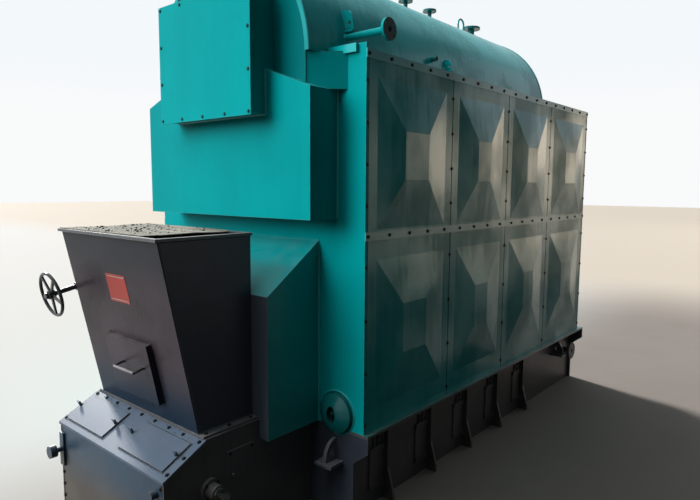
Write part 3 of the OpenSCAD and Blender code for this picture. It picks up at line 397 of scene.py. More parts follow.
def paint_row(name):
    """Colour, roughness; colour of the rubbed edges, which also paints a highlight along them, and its
    amount; dust on top, on walls, near the ground; depth of the plate's waves in metres, coat, unevenness of
    tone, width of the rubbed edge in metres, gloss."""
    p = paints()
    # A darker copy of the teal: painted shade on the headers, the crown's nozzles and the teal bolts
    shaded_teal = shade(p.teal, 0.40)
    rows = {
        "teal_gloss": (p.teal, 0.34, PALE_TEAL, 0.75, (0.08, 0, 0), 0.0008, 0, 0.06, 0.004, 0.05),
        # The lid's teal is made lighter: painted light
        "teal_lid_painted_light": (shade(p.teal, 1.1), 0.32, PALE_TEAL, 0.7, (0.08, 0, 0), 0.0008, 0, 0.06, 0.004, 0.05),
        "teal_arch": (p.teal, 0.34, PALE_TEAL, 0.6, (0.22, 0.008, 0), 0.0008, 0, 0.08, 0.004, 0.5),
        # The hood's face plate is a darker teal: painted shade of the upper smoke box
        "teal_hood_painted_shade": (shade(p.teal, 0.5), 0.34, PALE_TEAL, 0.5, (0.08, 0, 0), 0.0008, 0, 0.1, 0.004, 0.05),
        "teal_panel": (p.teal, 0.2, BRIGHT_TEAL, 0.2, (0.03, 0.006, 0), 0.0024, 0.6, 0.16, 0.005, 0.14),
        "teal_strip": (p.teal, 0.2, BRIGHT_TEAL, 0.35, (0.1, 0.02, 0), 0.001, 0.35, 0.12, 0.003, 0.5),
        "teal_drum": (p.teal, 0.27, BRIGHT_TEAL, 0.35, (0.06, 0.01, 0), 0.001, 0.4, 0.22, 0.005, 0.16),
        "teal_fitting": (shaded_teal, 0.24, BRIGHT_TEAL, 0.35, (0.06, 0.01, 0), 0.0005, 0.1, 0.12, 0.003, 0.4),
        "teal_flange": (p.teal, 0.4, BRIGHT_TEAL, 0.3, (0.06, 0.01, 0), 0.0005, 0, 0.12, 0.003, 0.12),
        "hopper_grey": (p.grey, 0.32, RUBBED_AND_HIGHLIGHT_GREY, 0.55, (0.2, 0.02, 0), 0.0016, 0, 0.36, 0.004, 0.1),
        "hopper_side": (SLATE, 0.34, RUBBED_AND_HIGHLIGHT_GREY, 0.4, (0.2, 0.01, 0), 0.0012, 0, 0.16, 0.004, 0.35),
        "rim_grey": (RIM_GREY, 0.45, RUBBED_AND_HIGHLIGHT_RIM, 0.8, (0.45, 0.08, 0), 0.0006, 0, 0.2, 0.004, 0.5),
        "base_black": (p.black, 0.38, RUBBED_AND_HIGHLIGHT_GREY, 0.25, (0.35, 0.02, 0.1), 0.001, 0, 0.25, 0.004, 0.35),
        "base_front": (p.blue_grey, 0.36, RUBBED_AND_HIGHLIGHT_GREY, 0.6, (0.3, 0.02, 0.1), 0.001, 0, 0.2, 0.004, 0.5),
        "lug_grey": (LUG_GREY, 0.36, RUBBED_AND_HIGHLIGHT_LUG, 0.9, (0.3, 0.02, 0.05), 0.0006, 0, 0.2, 0.005, 0.5),
        "sill_paint": (p.black, 0.3, (0.1, 0.2, 0.19), 0.9, (0.25, 0.02, 0), 0.0006, 0.2, 0.2, 0.004, 0.5),
        "housing_grey": (p.housing, 0.34, RUBBED_AND_HIGHLIGHT_GREY, 0.45, (0.3, 0.04, 0.12), 0.0014, 0, 0.16, 0.004, 0.35),
        "cover_grey": (p.cover, 0.48, RUBBED_AND_HIGHLIGHT_GREY, 0.45, (0.06, 0.02, 0), 0.001, 0, 0.12, 0.003, 0.4),
        "wheel_black": (WHEEL_BLACK, 0.3, RUBBED_AND_HIGHLIGHT_WHEEL, 0.55, (0.15, 0.02, 0), 0.0003, 0.2, 0.2, 0.003, 0.5),
        "bolt_dark": ((0.008, 0.01, 0.011), 0.5, RUST, 0.4, (0.08, 0, 0), 0, 0, 0.2, 0.002, 0.1),
        "bolt_teal": (shaded_teal, 0.36, PALE_TEAL, 0.3, (0.08, 0.01, 0), 0, 0, 0.2, 0.002, 0.3),
        "weld_teal": (p.teal, 0.36, PALE_TEAL, 0.4, (0.1, 0.01, 0), 0, 0, 0.1, 0.002, 0.35),
        "weld_dark": ((0.03, 0.031, 0.035), 0.38, RUBBED_AND_HIGHLIGHT_GREY, 0.4, (0.12, 0.02, 0), 0, 0, 0.2, 0.002, 0.4),
        "plate_red": (p.plate, 0.38, (0.5, 0.42, 0.36), 0.5, (0.1, 0.04, 0), 0.0004, 0, 0.2, 0.002, 0.3),
        "plate_rim": ((0.42, 0.36, 0.33), 0.4, (0.5, 0.5, 0.5), 0.5, (0.2, 0.1, 0), 0, 0, 0.2, 0.002, 0.5),
        # The handle's bar: pale from rubbing and from a painted highlight
        "rubbed_bar_with_highlight": ((0.19, 0.18, 0.18), 0.36, (0.5, 0.48, 0.46), 0.5, (0.2, 0.1, 0), 0, 0, 0.3, 0.002, 0.5),
        "coal": ((0.035, 0.032, 0.028), 0.55, ASH, 0.3, (0.6, 0.25, 0), 0, 0, 0.4, 0.001, 0.5),
    }
    return rows[name]


def paint_zones(name):
    """What is painted over a finish in one place: axis, place where it is empty and where it is
    full, and colour. The axis "oval" stands for the headers' handholes."""
    zones = {
        "teal_arch": [("Y", ARCH_FRONT + 0.004, ARCH_FRONT + 0.002, (0.070, 0.090, 0.115))],
        # Painted highlight: the front face of the cover strips is made lighter
        "teal_strip": [("Y", WALL_Y + 0.002, WALL_Y, shade(paints().teal, 1.5))],
        # Painted shade in the headers' oval handholes
        "teal_fitting": [("oval", 0.0, 0.0, (0.001, 0.010, 0.012))],
        "teal_flange": [("X", 0.9485, 0.9495, (0.004, 0.009, 0.011))],
        # Painted reflection on the hopper's front: bluish and darker towards the foot, darker towards the
        # top, so that a sheen stays about the door
        "hopper_grey": [
            ("Z", 1.00, 0.66, (0.010, 0.022, 0.040)),
            ("Z", 1.26, 1.50, (0.026, 0.028, 0.035)),
        ],
        "sill_paint": [("Z", CASING_FOOT - 0.006, CASING_FOOT - 0.001, (0.020, 0.110, 0.105))],
        # Browner towards the foot of the housing's front plate
        "housing_grey": [("Z", 0.42, 0.10, HOUSING_FOOT_BROWN)],
    }
    return zones.get(name, [])


def gloss_paint(name):
    """Paint on plate: brushwork in tone and gloss, rubbed edges with a painted highlight along them, and
    settled dust.
    """
    colour, roughness, worn_and_highlight_colour, amount, dust, wave, coat, tone, edge, gloss = paint_row(name)
    material, g, shader, place = new_material(name)
    spread = SPREADS.get(name, SPREAD)
    brush = group_outputs(g, brushwork, {"Vector": place, "Roughness": roughness, "Spread": spread})
    wear_and_highlight = group_outputs(g, edge_wear_and_highlight, {"Vector": place, "Width": edge, "Amount": amount})
    lying = {"Vector": place, "On top": dust[0], "On walls": dust[1], "Near ground": dust[2]}
    settled = group_outputs(g, settled_dust, lying)
    base = g.fade(brush["Tone"], 0.3, 0.7, shade(colour, 1.0 - tone), shade(colour, 1.0 + tone))
    for axis, empty, full, other in paint_zones(name):
        mask = g.handholes(place) if axis == "oval" else g.zone(place, axis, empty, full)
        base = g.blended(mask, base, other)
    # Rubbed edges in a lighter colour, which also paints a highlight along them
    base = g.blended(wear_and_highlight["Mask"], base, worn_and_highlight_colour)
    g.feed(shader["Base Color"], g.blended(settled["Mask"], base, DUST))
    g.feed(shader["Roughness"], g.plus(brush["Roughness"], g.times(settled["Mask"], 0.5)))
    shader["Specular IOR Level"].default_value = gloss
    shader["Coat Roughness"].default_value = COAT_ROUGHNESS
    if coat:
        # The last coat was put on unevenly, so its gloss comes in clouds and runs
        g.feed(shader["Coat Weight"], g.times(g.ramp(brush["Tone"], 0.40, 0.60), coat))
    g.feed(shader["Normal"], g.bump(brush["Height"], max(wave, 0.0004), 0.6))
    return material


def turned_steel(name):
    """Machined steel with fine rings of the tool and a film of oil."""
    colour = paints().steel
    material, g, shader, place = new_material(name)
    rings = g.noise(g.stretched(place, (420.0, 4.0, 4.0)), 1.0, 2.0, 0.5)
    stains = g.noise(place, 14.0, 5.0, 0.65)
    g.feed(shader["Base Color"], g.fade(stains, 0.42, 0.72, colour, shade(colour, 0.45)))
    shader["Metallic"].default_value = 1.0
    g.feed(shader["Roughness"], g.plus(g.times(rings, 0.12), g.times(stains, 0.35)))
    g.feed(shader["Normal"], g.bump(rings, 0.0002))
    return material


def dusty_sheet(name):
    """Weathered cover board under coal dust, streaked along the hopper's width."""
    colour = paints().sheet
    material, g, shader, place = new_material(name)
    streaks = g.noise(g.stretched(place, (3.0, 26.0, 8.0)), 1.0, 6.0, 0.7)
    specks = g.noise(place, 130.0, 4.0, 0.8)
    patches = g.noise(place, 6.0, 6.0, 0.65)
    base = g.fade(streaks, 0.30, 0.70, shade(colour, 0.38), shade(colour, 1.55))
    base = g.fade(patches, 0.50, 0.66, base, colour)
    g.feed(shader["Base Color"], g.fade(specks, 0.60, 0.70, base, SOOT))
    shader["Roughness"].default_value = 0.85
    g.feed(shader["Normal"], g.bump(g.plus(streaks, g.times(specks, 0.35)), 0.004))
    return material


MATERIALS = {}


def material_for(name):
    """One finish by name, made on first use."""
    if name not in MATERIALS:
        makers = {"turned_steel": turned_steel, "dusty_sheet": dusty_sheet}
        MATERIALS[name] = makers.get(name, gloss_paint)(name)
    return MATERIALS[name]


# Mesh helpers


def finish_mesh(name, mesh, finish, body, smooth=None):
    """Links a mesh as a piece of a body. smooth is the angle under which edges are smooth."""
    data = bpy.data.meshes.new(name)
    mesh.normal_update()
    mesh.to_mesh(data)
    mesh.free()
    piece = bpy.data.objects.new(name, data)
    bpy.context.scene.collection.objects.link(piece)
    data.materials.append(material_for(finish))
    if smooth is not None:
        data.shade_smooth()
        data.set_sharp_from_angle(angle=math.radians(smooth))
    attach(piece, body)
    return piece


def add_lathe(mesh, profile, sides, place):
    """Revolves (radius, height) points about +Z of place, closed at both ends; the last may be a tip."""
    rings = []
    for radius, height in profile:
        if radius == 0.0:
            rings.append([mesh.verts.new(place @ Vector((0.0, 0.0, height)))])
            continue
        turns = [2.0 * math.pi * step / sides for step in range(sides)]
        ring = [Vector((radius * math.cos(turn), radius * math.sin(turn), height)) for turn in turns]
        rings.append([mesh.verts.new(place @ at) for at in ring])
    for low, high in zip(rings, rings[1:]):
        for step in range(sides):
            other = (step + 1) % sides
            if len(high) == 1:
                mesh.faces.new((low[step], low[other], high[0]))
            else:
                mesh.faces.new((low[step], low[other], high[other], high[step]))
    mesh.faces.new(rings[0][::-1])
    if len(rings[-1]) > 1:
        mesh.faces.new(rings[-1])


def add_bolt(mesh, at, normal, across, height, turn):
    """Hexagon head with a chamfer on a washer."""
    upright = Vector(normal).to_track_quat("Z", "Y").to_matrix().to_4x4()
    place = Matrix.Translation(at) @ (upright @ Matrix.Rotation(turn, 4, "Z"))
    radius = across / math.sqrt(3.0)
    washer = height * 0.22
    add_lathe(mesh, [(radius * 1.32, -washer * 0.5), (radius * 1.32, washer)], 14, place)
    head = [(radius, washer * 0.9), (radius, height * 0.86), (radius * 0.84, height)]
    add_lathe(mesh, head, 6, place)


def bolter(mesh, rng):
    """A way to add bolts of the set size, or a share of it, each turned at random."""
    f = fasteners()

    def bolt(at, normal, share=1.0):
        add_bolt(mesh, at, normal, f.bolt_across * share, f.bolt_height * share, rng.random())

    return bolt


def around(radius):
    """Four places on the diagonals of a circle."""
    angles = [math.radians(45.0 + 90.0 * i) for i in range(4)]
    return [(radius * math.cos(a), radius * math.sin(a)) for a in angles]


def add_block(mesh, low, high, place):
    """A box between two corners."""
    made = bmesh.ops.create_cube(mesh, size=1.0)["verts"]
    low, high = Vector(low), Vector(high)
    middle, span = (low + high) / 2.0, high - low
    for vert in made:
        vert.co = place @ (middle + vert.co * span)


def add_frame(mesh, left, right, low, high, out, into, thickness, place):
    """Flat frame on the edges of a rectangle, reaching out of it and into it."""
    for start, end in (
        ((left - out, low - out), (right + out, low + into)),
        ((left - out, high - into), (right + out, high + out)),
        ((left - out, low + into), (left + into, high - into)),
        ((right - into, low + into), (right + out, high - into)),
    ):
        add_block(mesh, (*start, -SUNK), (*end, thickness), place)


def add_sweep(mesh, rings):
    """Skin through rings of points, closed at both ends."""
    previous = None
    for points in rings:
        ring = [mesh.verts.new(point) for point in points]
        if previous:
            for k in range(len(ring)):
                other = (k + 1) % len(ring)
                mesh.faces.new((previous[k], previous[other], ring[other], ring[k]))
        else:
            mesh.faces.new(ring[::-1])
        previous = ring
    mesh.faces.new(previous)


def add_plate(mesh, corners, thickness, place):
    """Flat plate of that outline on the ground plane of place and up along its +Z."""
    add_sweep(mesh, [[place @ Vector((x, y, z)) for x, y in corners] for z in (0.0, thickness)])


def add_rounded_plate(mesh, width, height, thickness, radius, place):
    """Flat plate with rounded corners, about the origin of place and up along its +Z."""
    corners = []
    for quarter, (sx, sy) in enumerate(((1, 1), (-1, 1), (-1, -1), (1, -1))):
        for step in range(5):
            turn = (quarter + step / 4.0) * math.pi / 2.0
            x = sx * (width / 2.0 - radius) + radius * math.cos(turn)
            y = sy * (height / 2.0 - radius) + radius * math.sin(turn)
            corners.append((x, y))
    add_plate(mesh, corners, thickness, place)


def spaced(first, last, pitch):
    """Even places from first to last, about pitch apart."""
    steps = max(1, round(abs(last - first) / pitch))
    return [first + (last - first) * i / steps for i in range(steps + 1)]


# Share of a weld's leg that its crest reaches along both sides
CREST = 0.58


def line_path(start, end, side_a, side_b, out=None):
    """Straight weld path; the sides point along the two faces that it joins, out is its crest."""
    start, end, side_a, side_b = Vector(start), Vector(end), Vector(side_a), Vector(side_b)
    out = out or (side_a + side_b) * CREST
    steps = max(2, round((end - start).length / 0.012))
    return [(start.lerp(end, i / steps), side_a, side_b, out) for i in range(steps + 1)]


def seam_path(start, end, normal):
    """Straight path along a flush seam, with its crest along the normal."""
    across = (Vector(end) - Vector(start)).normalized().cross(normal)
    return line_path(start, end, across * 0.8, across * -0.8, Vector(normal) * 0.45)


def ring_path(centre, axis, right, radius, first=0.0, last=2.0 * math.pi):
    """Path around a round foot that stands on a flat face along axis."""
    up = axis.cross(right)
    steps = max(12, round((last - first) * radius / 0.008))
    path = []
    for i in range(steps + 1):
        turn = first + (last - first) * i / steps
        out = right * math.cos(turn) + up * math.sin(turn)
        path.append((Vector(centre) + out * radius, out, axis, (out + axis) * CREST))
    return path


def on_drum(height):
    """Distance from the middle of the drum's cladding at that height or that far from the middle."""
    return math.sqrt(DRUM_R**2 - height**2)


def saddle_path(y, z, radius, axis):
    """Path around a pipe along axis where it meets the drum's round cladding."""
    steps = max(14, round(2.0 * math.pi * radius / 0.006))
    path = []
    for i in range(steps + 1):
        turn = 2.0 * math.pi * i / steps
        along, over = radius * math.sin(turn), radius * math.cos(turn)
        if axis == Z_AXIS:
            at = Vector((over, y + along, DRUM_Z + on_drum(over)))
            out = Vector((math.cos(turn), math.sin(turn), 0.0))
        else:
            at = Vector((on_drum(z + over - DRUM_Z), y + along, z + over))
            out = Vector((0.0, math.sin(turn), math.cos(turn)))
        normal = Vector((at.x, 0.0, at.z - DRUM_Z)).normalized()
        flat = (out - normal * out.dot(normal)).normalized()
        path.append((at, flat, axis, (flat + axis) * CREST))
    return path


def add_welds(mesh, paths, leg, seed):
    """Weld beads along the paths, with the ripples that the torch left."""
    rng = random.Random(seed)
    for path in paths:
        rings = []
        for index, (at, side_a, side_b, out) in enumerate(path):
            swell = leg * (0.86 + 0.22 * (index % 2) + 0.16 * rng.random())
            rings.append([at + way * swell for way in (out * -0.3, side_a, out, side_b)])
        add_sweep(mesh, rings)
    bmesh.ops.recalc_face_normals(mesh, faces=mesh.faces)


# Places on the construction


def top_at(node, axis, place):
    """Height of a node's highest point at that place along an axis."""
    return max(v.co.z for v in NODES[node].data.vertices if abs(v.co[axis] - place) < 0.0005)


def middle_yz(node):
    """Middle of a node's box along Y and Z."""
    low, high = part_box(node)
    return (low.y + high.y) / 2.0, (low.z + high.z) / 2.0


def face_frame(origin, up, normal):
    """Frame on a plate: X to the right, Y up the plate and Z out of it."""
    columns = Matrix((up.cross(normal), up, normal)).transposed().to_4x4()
    return Matrix.Translation(origin) @ columns


def hopper_face():
    """Frame on the hopper's leaning front plate, with its origin at the middle of the foot."""
    up = Vector((0.0, -math.sin(HOPPER_LEAN), math.cos(HOPPER_LEAN)))
    normal = Vector((0.0, -math.cos(HOPPER_LEAN), -math.sin(HOPPER_LEAN)))
    return face_frame((0.0, HOPPER_FOOT, HOPPER_LOW.z), up, normal)


def cover_face():
    """Frame on the slanted cover, with its origin at the middle of its upper edge."""
    front = top_at("slanted_cover", 1, COVER_LOW.y)
    slope = math.atan2(COVER_HIGH.z - front, COVER_HIGH.y - COVER_LOW.y)
    up = Vector((0.0, math.cos(slope), math.sin(slope)))
    normal = Vector((0.0, -math.sin(slope), math.cos(slope)))
    return face_frame((0.0, COVER_HIGH.y, COVER_HIGH.z), up, normal)


HOPPER_FACE = hopper_face()
COVER_FACE = cover_face()


def panel_seams():
    """Places along Y of the casing's inner seams, in the gaps between the pressed panels."""
    data = NODES["right_upper_panels"].data
    spans = []
    for face in data.polygons:
        ys = [round(data.vertices[i].co.y, 4) for i in face.vertices]
        spans.append((min(ys), max(ys)))
    seams = []
    reach = min(spans)[1]
    for low, high in sorted(spans):
        if low > reach:
            seams.append((reach + low) / 2.0)
        reach = max(reach, high)
    return seams


def roof_arc(radius, steps):
    """Angles of an arc about the drum's middle, from the roof over the crown to the roof."""
    first = math.asin((CASING_TOP + 0.001 - DRUM_Z) / radius)
    return [first + (math.pi - 2.0 * first) * i / steps for i in range(steps + 1)]


# Pieces


class BOILER_OT_finishes(bpy.types.Operator):
    """Give every construction piece its paint"""

    bl_idname = "boiler.finishes"
    bl_label = "Paint the construction"

    def execute(self, context):
        finish = {
            "teal_gloss": (
                "front_wall smoke_box upper_smoke_box drum_front_head rear_wall roof_plates "
                "drum_rear_head casing_frame"
            ),
            "teal_lid_painted_light": "smoke_box_lid",
            "teal_arch": "arch_box",
            "teal_panel": "right_upper_panels right_lower_panels left_upper_panels left_lower_panels",
            "teal_strip": "edge_strips",
            "teal_drum": "drum_shell drum_lugs",
            "teal_fitting": "headers steam_nozzles",
            "teal_flange": "feed_pipe",
            "hopper_grey": "hopper_front hopper_door door_hinge",
            "hopper_side": "hopper_shell",
            "rim_grey": "hopper_rim hopper_base_flange",
            "base_black": (
                "base_side_right base_side_left base_rear_plate ash_doors drain_pipe grate_housing "
                "housing_side_plates shaft_bearings spindle_brackets"
            ),
            "base_front": "base_front_plate",
            "lug_grey": "tow_lugs",
            "sill_paint": "sill_rails",
            "housing_grey": "housing_front_plate",
            "wheel_black": "gate_handwheel gate_spindle",
            "cover_grey": "slanted_cover hatch_plates",
            "turned_steel": "grate_shaft",
            "dusty_sheet": "hopper_cover",
        }
        for name, members in finish.items():
            for node in members.split():
                data = NODES[node].data
                data.materials.clear()
                data.materials.append(material_for(name))
        return {"FINISHED"}


class BOILER_OT_casing_bolts(bpy.types.Operator):
    """Bolt the casing's panels along their seams and cover strips"""

    bl_idname = "boiler.casing_bolts"
    bl_label = "Bolt the casing"

    def execute(self, context):
        strip_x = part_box("edge_strips")[1].x
        upper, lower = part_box("right_upper_panels"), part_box("right_lower_panels")
        seam_z = (upper[0].z + lower[1].z) / 2.0
        top_z = CASING_TOP - 0.022
        spans = ((lower[0].z + 0.05, seam_z - 0.16), (seam_z + 0.16, top_z - 0.13))
        end_inset, post_inset = 0.02, 0.012
        columns = [WALL_Y + post_inset] + panel_seams() + [CASING_REAR - post_inset]
        rng = random.Random(11)
        for name, sign in (("right", 1.0), ("left", -1.0)):
            mesh = bmesh.new()
            bolt = bolter(mesh, rng)
            side = X_AXIS * sign
            for y in spaced(CASING_REAR - end_inset, WALL_Y + end_inset, 0.185):
                for z in (top_z, seam_z):
                    bolt((sign * strip_x, y, z), side)
            for y in columns:
                for low, high in spans:
                    for z in spaced(low, high, 0.25):
                        bolt((sign * CASING_X, y, z), side)
            finish_mesh(f"casing_bolts_{name}", mesh, "bolt_dark", HULL_BODY)
        return {"FINISHED"}


class BOILER_OT_wall_bolts(bpy.types.Operator):
    """Bolt the lid, the roof plates and the rear wall"""

    bl_idname = "boiler.wall_bolts"
    bl_label = "Bolt the lid, the roof and the rear wall"

    def execute(self, context):
        mesh = bmesh.new()
        bolt = bolter(mesh, random.Random(12))
        low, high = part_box("smoke_box_lid")
        inset = 0.018
        edge_x, rows_z = high.x - inset, (low.z + inset, high.z - inset)
        lid = [(x, z) for z in rows_z for x in spaced(-edge_x, edge_x, 0.2)]
        lid += [(x, z) for z in spaced(*rows_z, 0.213)[1:-1] for x in (-edge_x, edge_x)]
        for x, z in lid:
            bolt((x, low.y, z), -Y_AXIS)
        post_x, corner = CASING_X - 0.025, 0.06
        for y in spaced(WALL_Y + corner, CASING_REAR - corner, 0.30):
            for x in (-post_x, post_x):
                bolt((x, y, CASING_TOP), Z_AXIS)
        rows_z = spaced(CASING_FOOT + corner, CASING_TOP - corner, 0.31)
        rear = [(x, z) for z in rows_z for x in (-post_x, post_x)]
        rear += [(x, CASING_TOP - 0.03) for x in spaced(-0.80, 0.80, 0.27)]
        rear += [(x, CASING_FOOT + 0.03) for x in spaced(-0.55, 0.55, 0.28)]
        for x, z in rear:
            bolt((x, CASING_REAR, z), Y_AXIS)
        finish_mesh("wall_bolts", mesh, "bolt_teal", HULL_BODY)
        return {"FINISHED"}


class BOILER_OT_housing_bolts(bpy.types.Operator):
    """Bolt the grate housing, its cover and bearings, and the hopper's flange"""

    bl_idname = "boiler.housing_bolts"
    bl_label = "Bolt the grate housing"

    def execute(self, context):
        mesh = bmesh.new()
        bolt = bolter(mesh, random.Random(13))
        upper_row = (-0.505, -0.394, -0.272, -0.142, -0.013, 0.117, 0.247, 0.371, 0.505)
        cover = [(x, -0.022) for x in upper_row]
        cover += [(x, y) for x in (-0.512, 0.512) for y in (-0.124, -0.226)]
        for x, y in cover:
            bolt(COVER_FACE @ Vector((x, y, 0.0)), COVER_FACE.to_3x3() @ Z_AXIS)
        low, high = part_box("hopper_base_flange")
        for y in spaced(low.y + 0.03, high.y - 0.03, 0.13):
            for x in (-0.493, 0.493):
                bolt((x, y, high.z), Z_AXIS)
        front_x = 0.505
        for x, rows_z in ((-front_x, (0.05, 0.12, 0.19)), (front_x, spaced(0.05, 0.44, 0.13))):
            for z in rows_z:
                bolt((x, HOUSING_FRONT, z), -Y_AXIS)
        # Inspection plates and bearings on both sides; their bolts are a share of the casing's
        plate_front, plate_rear, plate_top, inset = -1.711, -1.544, 0.500, 0.014
        plate_x, flange_x, flange_r = HOUSING_X + 0.008, HOUSING_X + 0.022, 0.0465
        plate_bolt, flange_bolt, cap_bolt = 0.8, 0.75, 0.55
        shaft_y, shaft_z = middle_yz("shaft_bearings")
        for sign in SIDES:
            side = X_AXIS * sign
            for y in (plate_front + inset, plate_rear - inset):
                bolt((sign * plate_x, y, plate_top - inset), side, plate_bolt)
            for along, up in around(flange_r):
                bolt((sign * flange_x, shaft_y + along, shaft_z + up), side, flange_bolt)
        # The round cap of the gate's gearbox
        cap_x, cap_r, gear_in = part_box("spindle_brackets")[0].x, 0.022, 0.277
        for out, up in around(cap_r):
            at = HOPPER_FACE @ Vector((0.0, SPINDLE_UP + up, out - gear_in))
            bolt((cap_x, at.y, at.z), -X_AXIS, cap_bolt)
        finish_mesh("housing_bolts", mesh, "bolt_dark", HULL_BODY)
        return {"FINISHED"}


class BOILER_OT_casing_welds(bpy.types.Operator):
    """Weld the boxes, the roof, the collars and what stands on the drum"""

    bl_idname = "boiler.casing_welds"
    bl_label = "Weld the casing and the drum"

    def execute(self, context):
        mesh = bmesh.new()
        paths = self.box_paths() + self.drum_paths() + self.collar_paths()
        add_welds(mesh, paths, fasteners().weld, 21)
        finish_mesh("casing_welds", mesh, "weld_teal", HULL_BODY, 50)
        return {"FINISHED"}

    def box_paths(self):
        """Where the smoke box, the upper box and the arch box meet what carries them."""
        smoke, upper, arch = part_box("smoke_box"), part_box("upper_smoke_box"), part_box("arch_box")
        eave, roof, front = top_at("smoke_box", 0, smoke[1].x), smoke[1].z, smoke[0].y
        arch_fold = top_at("arch_box", 1, arch[0].y)
        fall = Vector((0.0, arch[0].y - WALL_Y, arch_fold - arch[1].z)).normalized()
        lines = [
            ((smoke[0].x, WALL_Y, smoke[0].z), (smoke[1].x, WALL_Y, smoke[0].z), -Z_AXIS, -Y_AXIS),
            ((upper[0].x, front, upper[0].z), (upper[1].x, front, upper[0].z), -Z_AXIS, -Y_AXIS),
            ((arch[0].x, WALL_Y, arch[1].z), (arch[1].x, WALL_Y, arch[1].z), Z_AXIS, fall),
        ]
        for sign in SIDES:
            side = X_AXIS * sign
            outer, inner, arch_x = smoke[1].x * sign, upper[1].x * sign, arch[1].x * sign
            shoulder = Vector((outer - inner, 0.0, eave - roof)).normalized()
            above = Vector((-shoulder.z * sign, 0.0, abs(shoulder.x)))
            lines += [
                ((outer, WALL_Y, smoke[0].z), (outer, WALL_Y, eave), side, -Y_AXIS),
                ((outer, WALL_Y, eave), (inner, WALL_Y, roof), above, -Y_AXIS),
                ((inner, front, upper[0].z), (inner, front, roof), side, -Y_AXIS),
                ((inner, WALL_Y, roof), (inner, front, roof), shoulder, Z_AXIS),
                ((arch_x, WALL_Y, arch[0].z), (arch_x, WALL_Y, arch[1].z), side, -Y_AXIS),
            ]
        return [line_path(*line) for line in lines]

    def drum_paths(self):
        """Feet of the nozzles, pipes, eyes and lugs, and the cladding's seams on the roof."""
        paths = [saddle_path(y, 0.0, radius, Z_AXIS) for y, radius in CROWN_PIPES + CROWN_EYES]
        paths += [saddle_path(y, z, radius, X_AXIS) for y, z, radius in SIDE_FEET]
        for sign in SIDES:
            side, roof_x = X_AXIS * sign, sign * on_drum(CASING_TOP - DRUM_Z)
            start, end = (roof_x, WALL_Y + 0.014, CASING_TOP), (roof_x, DRUM_HIGH.y, CASING_TOP)
            paths.append(line_path(start, end, side, Z_AXIS))
            for y, foot, height in LUG_FEET:
                for face in SIDES:
                    path = []
                    for z in spaced(foot, foot + height, 0.012):
                        x, along = sign * on_drum(z - DRUM_Z), Y_AXIS * face
                        normal = Vector((x, 0.0, z - DRUM_Z)).normalized()
                        at = Vector((x, y + face * LUG_T / 2.0, z))
                        path.append((at, along, normal, (along + normal) * CREST))
                    paths.append(path)
        end_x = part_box("drum_rear_head")[1].x
        start, end = (-end_x, DRUM_HIGH.y, CASING_TOP), (end_x, DRUM_HIGH.y, CASING_TOP)
        paths.append(line_path(start, end, Y_AXIS, Z_AXIS))
        return paths

    def collar_paths(self):
        """Collars of the headers on both walls; the rear ones end on the deck."""
        paths = []
        for x in (-HEADER_X, HEADER_X):
            paths.append(ring_path((x, WALL_Y, HEADER_Z), -Y_AXIS, X_AXIS, COLLAR_R))
            rear = (x, CASING_REAR, HEADER_Z)
            paths.append(ring_path(rear, Y_AXIS, X_AXIS, COLLAR_R, -math.pi - 0.68, 0.68))
        return paths


class BOILER_OT_base_welds(bpy.types.Operator):
    """Weld the ribs, the pulling lugs, the drain pipe and the grate housing"""

    bl_idname = "boiler.base_welds"
    bl_label = "Weld the base and the housing"

    def execute(self, context):
        paths = []
        ground, drain_r, seam_top = 0.002, 0.024, 0.466
        low, high = TOW_LUG_Z
        for sign in SIDES:
            side, x = X_AXIS * sign, BASE_X * sign
            for rib in RIBS_Y:
                for face in SIDES:
                    y = rib + face * RIB_T / 2.0
                    paths.append(line_path((x, y, ground), (x, y, SILL_FOOT), Y_AXIS * face, side))
            for face in SIDES:
                y = TOW_LUG_REAR_Y + face * TOW_LUG_T / 2.0
                paths.append(line_path((x, y, low), (x, y, high), Y_AXIS * face, side))
                lug_x = sign * (BASE_X - TOW_LUG_INSET) + face * TOW_LUG_T / 2.0
                start, end = (lug_x, BASE_FRONT, low), (lug_x, BASE_FRONT, high)
                paths.append(line_path(start, end, X_AXIS * face, -Y_AXIS))
            seam_x = sign * (HOUSING_X - 0.012)
            start, end = (seam_x, HOUSING_FRONT, ground), (seam_x, HOUSING_FRONT, seam_top)
            paths.append(seam_path(start, end, -Y_AXIS))
        paths.append(ring_path((BASE_X, *middle_yz("drain_pipe")), X_AXIS, Y_AXIS, drain_r))
        mesh = bmesh.new()
        add_welds(mesh, paths, fasteners().weld, 22)
        finish_mesh("base_welds", mesh, "weld_dark", HULL_BODY, 50)
        return {"FINISHED"}


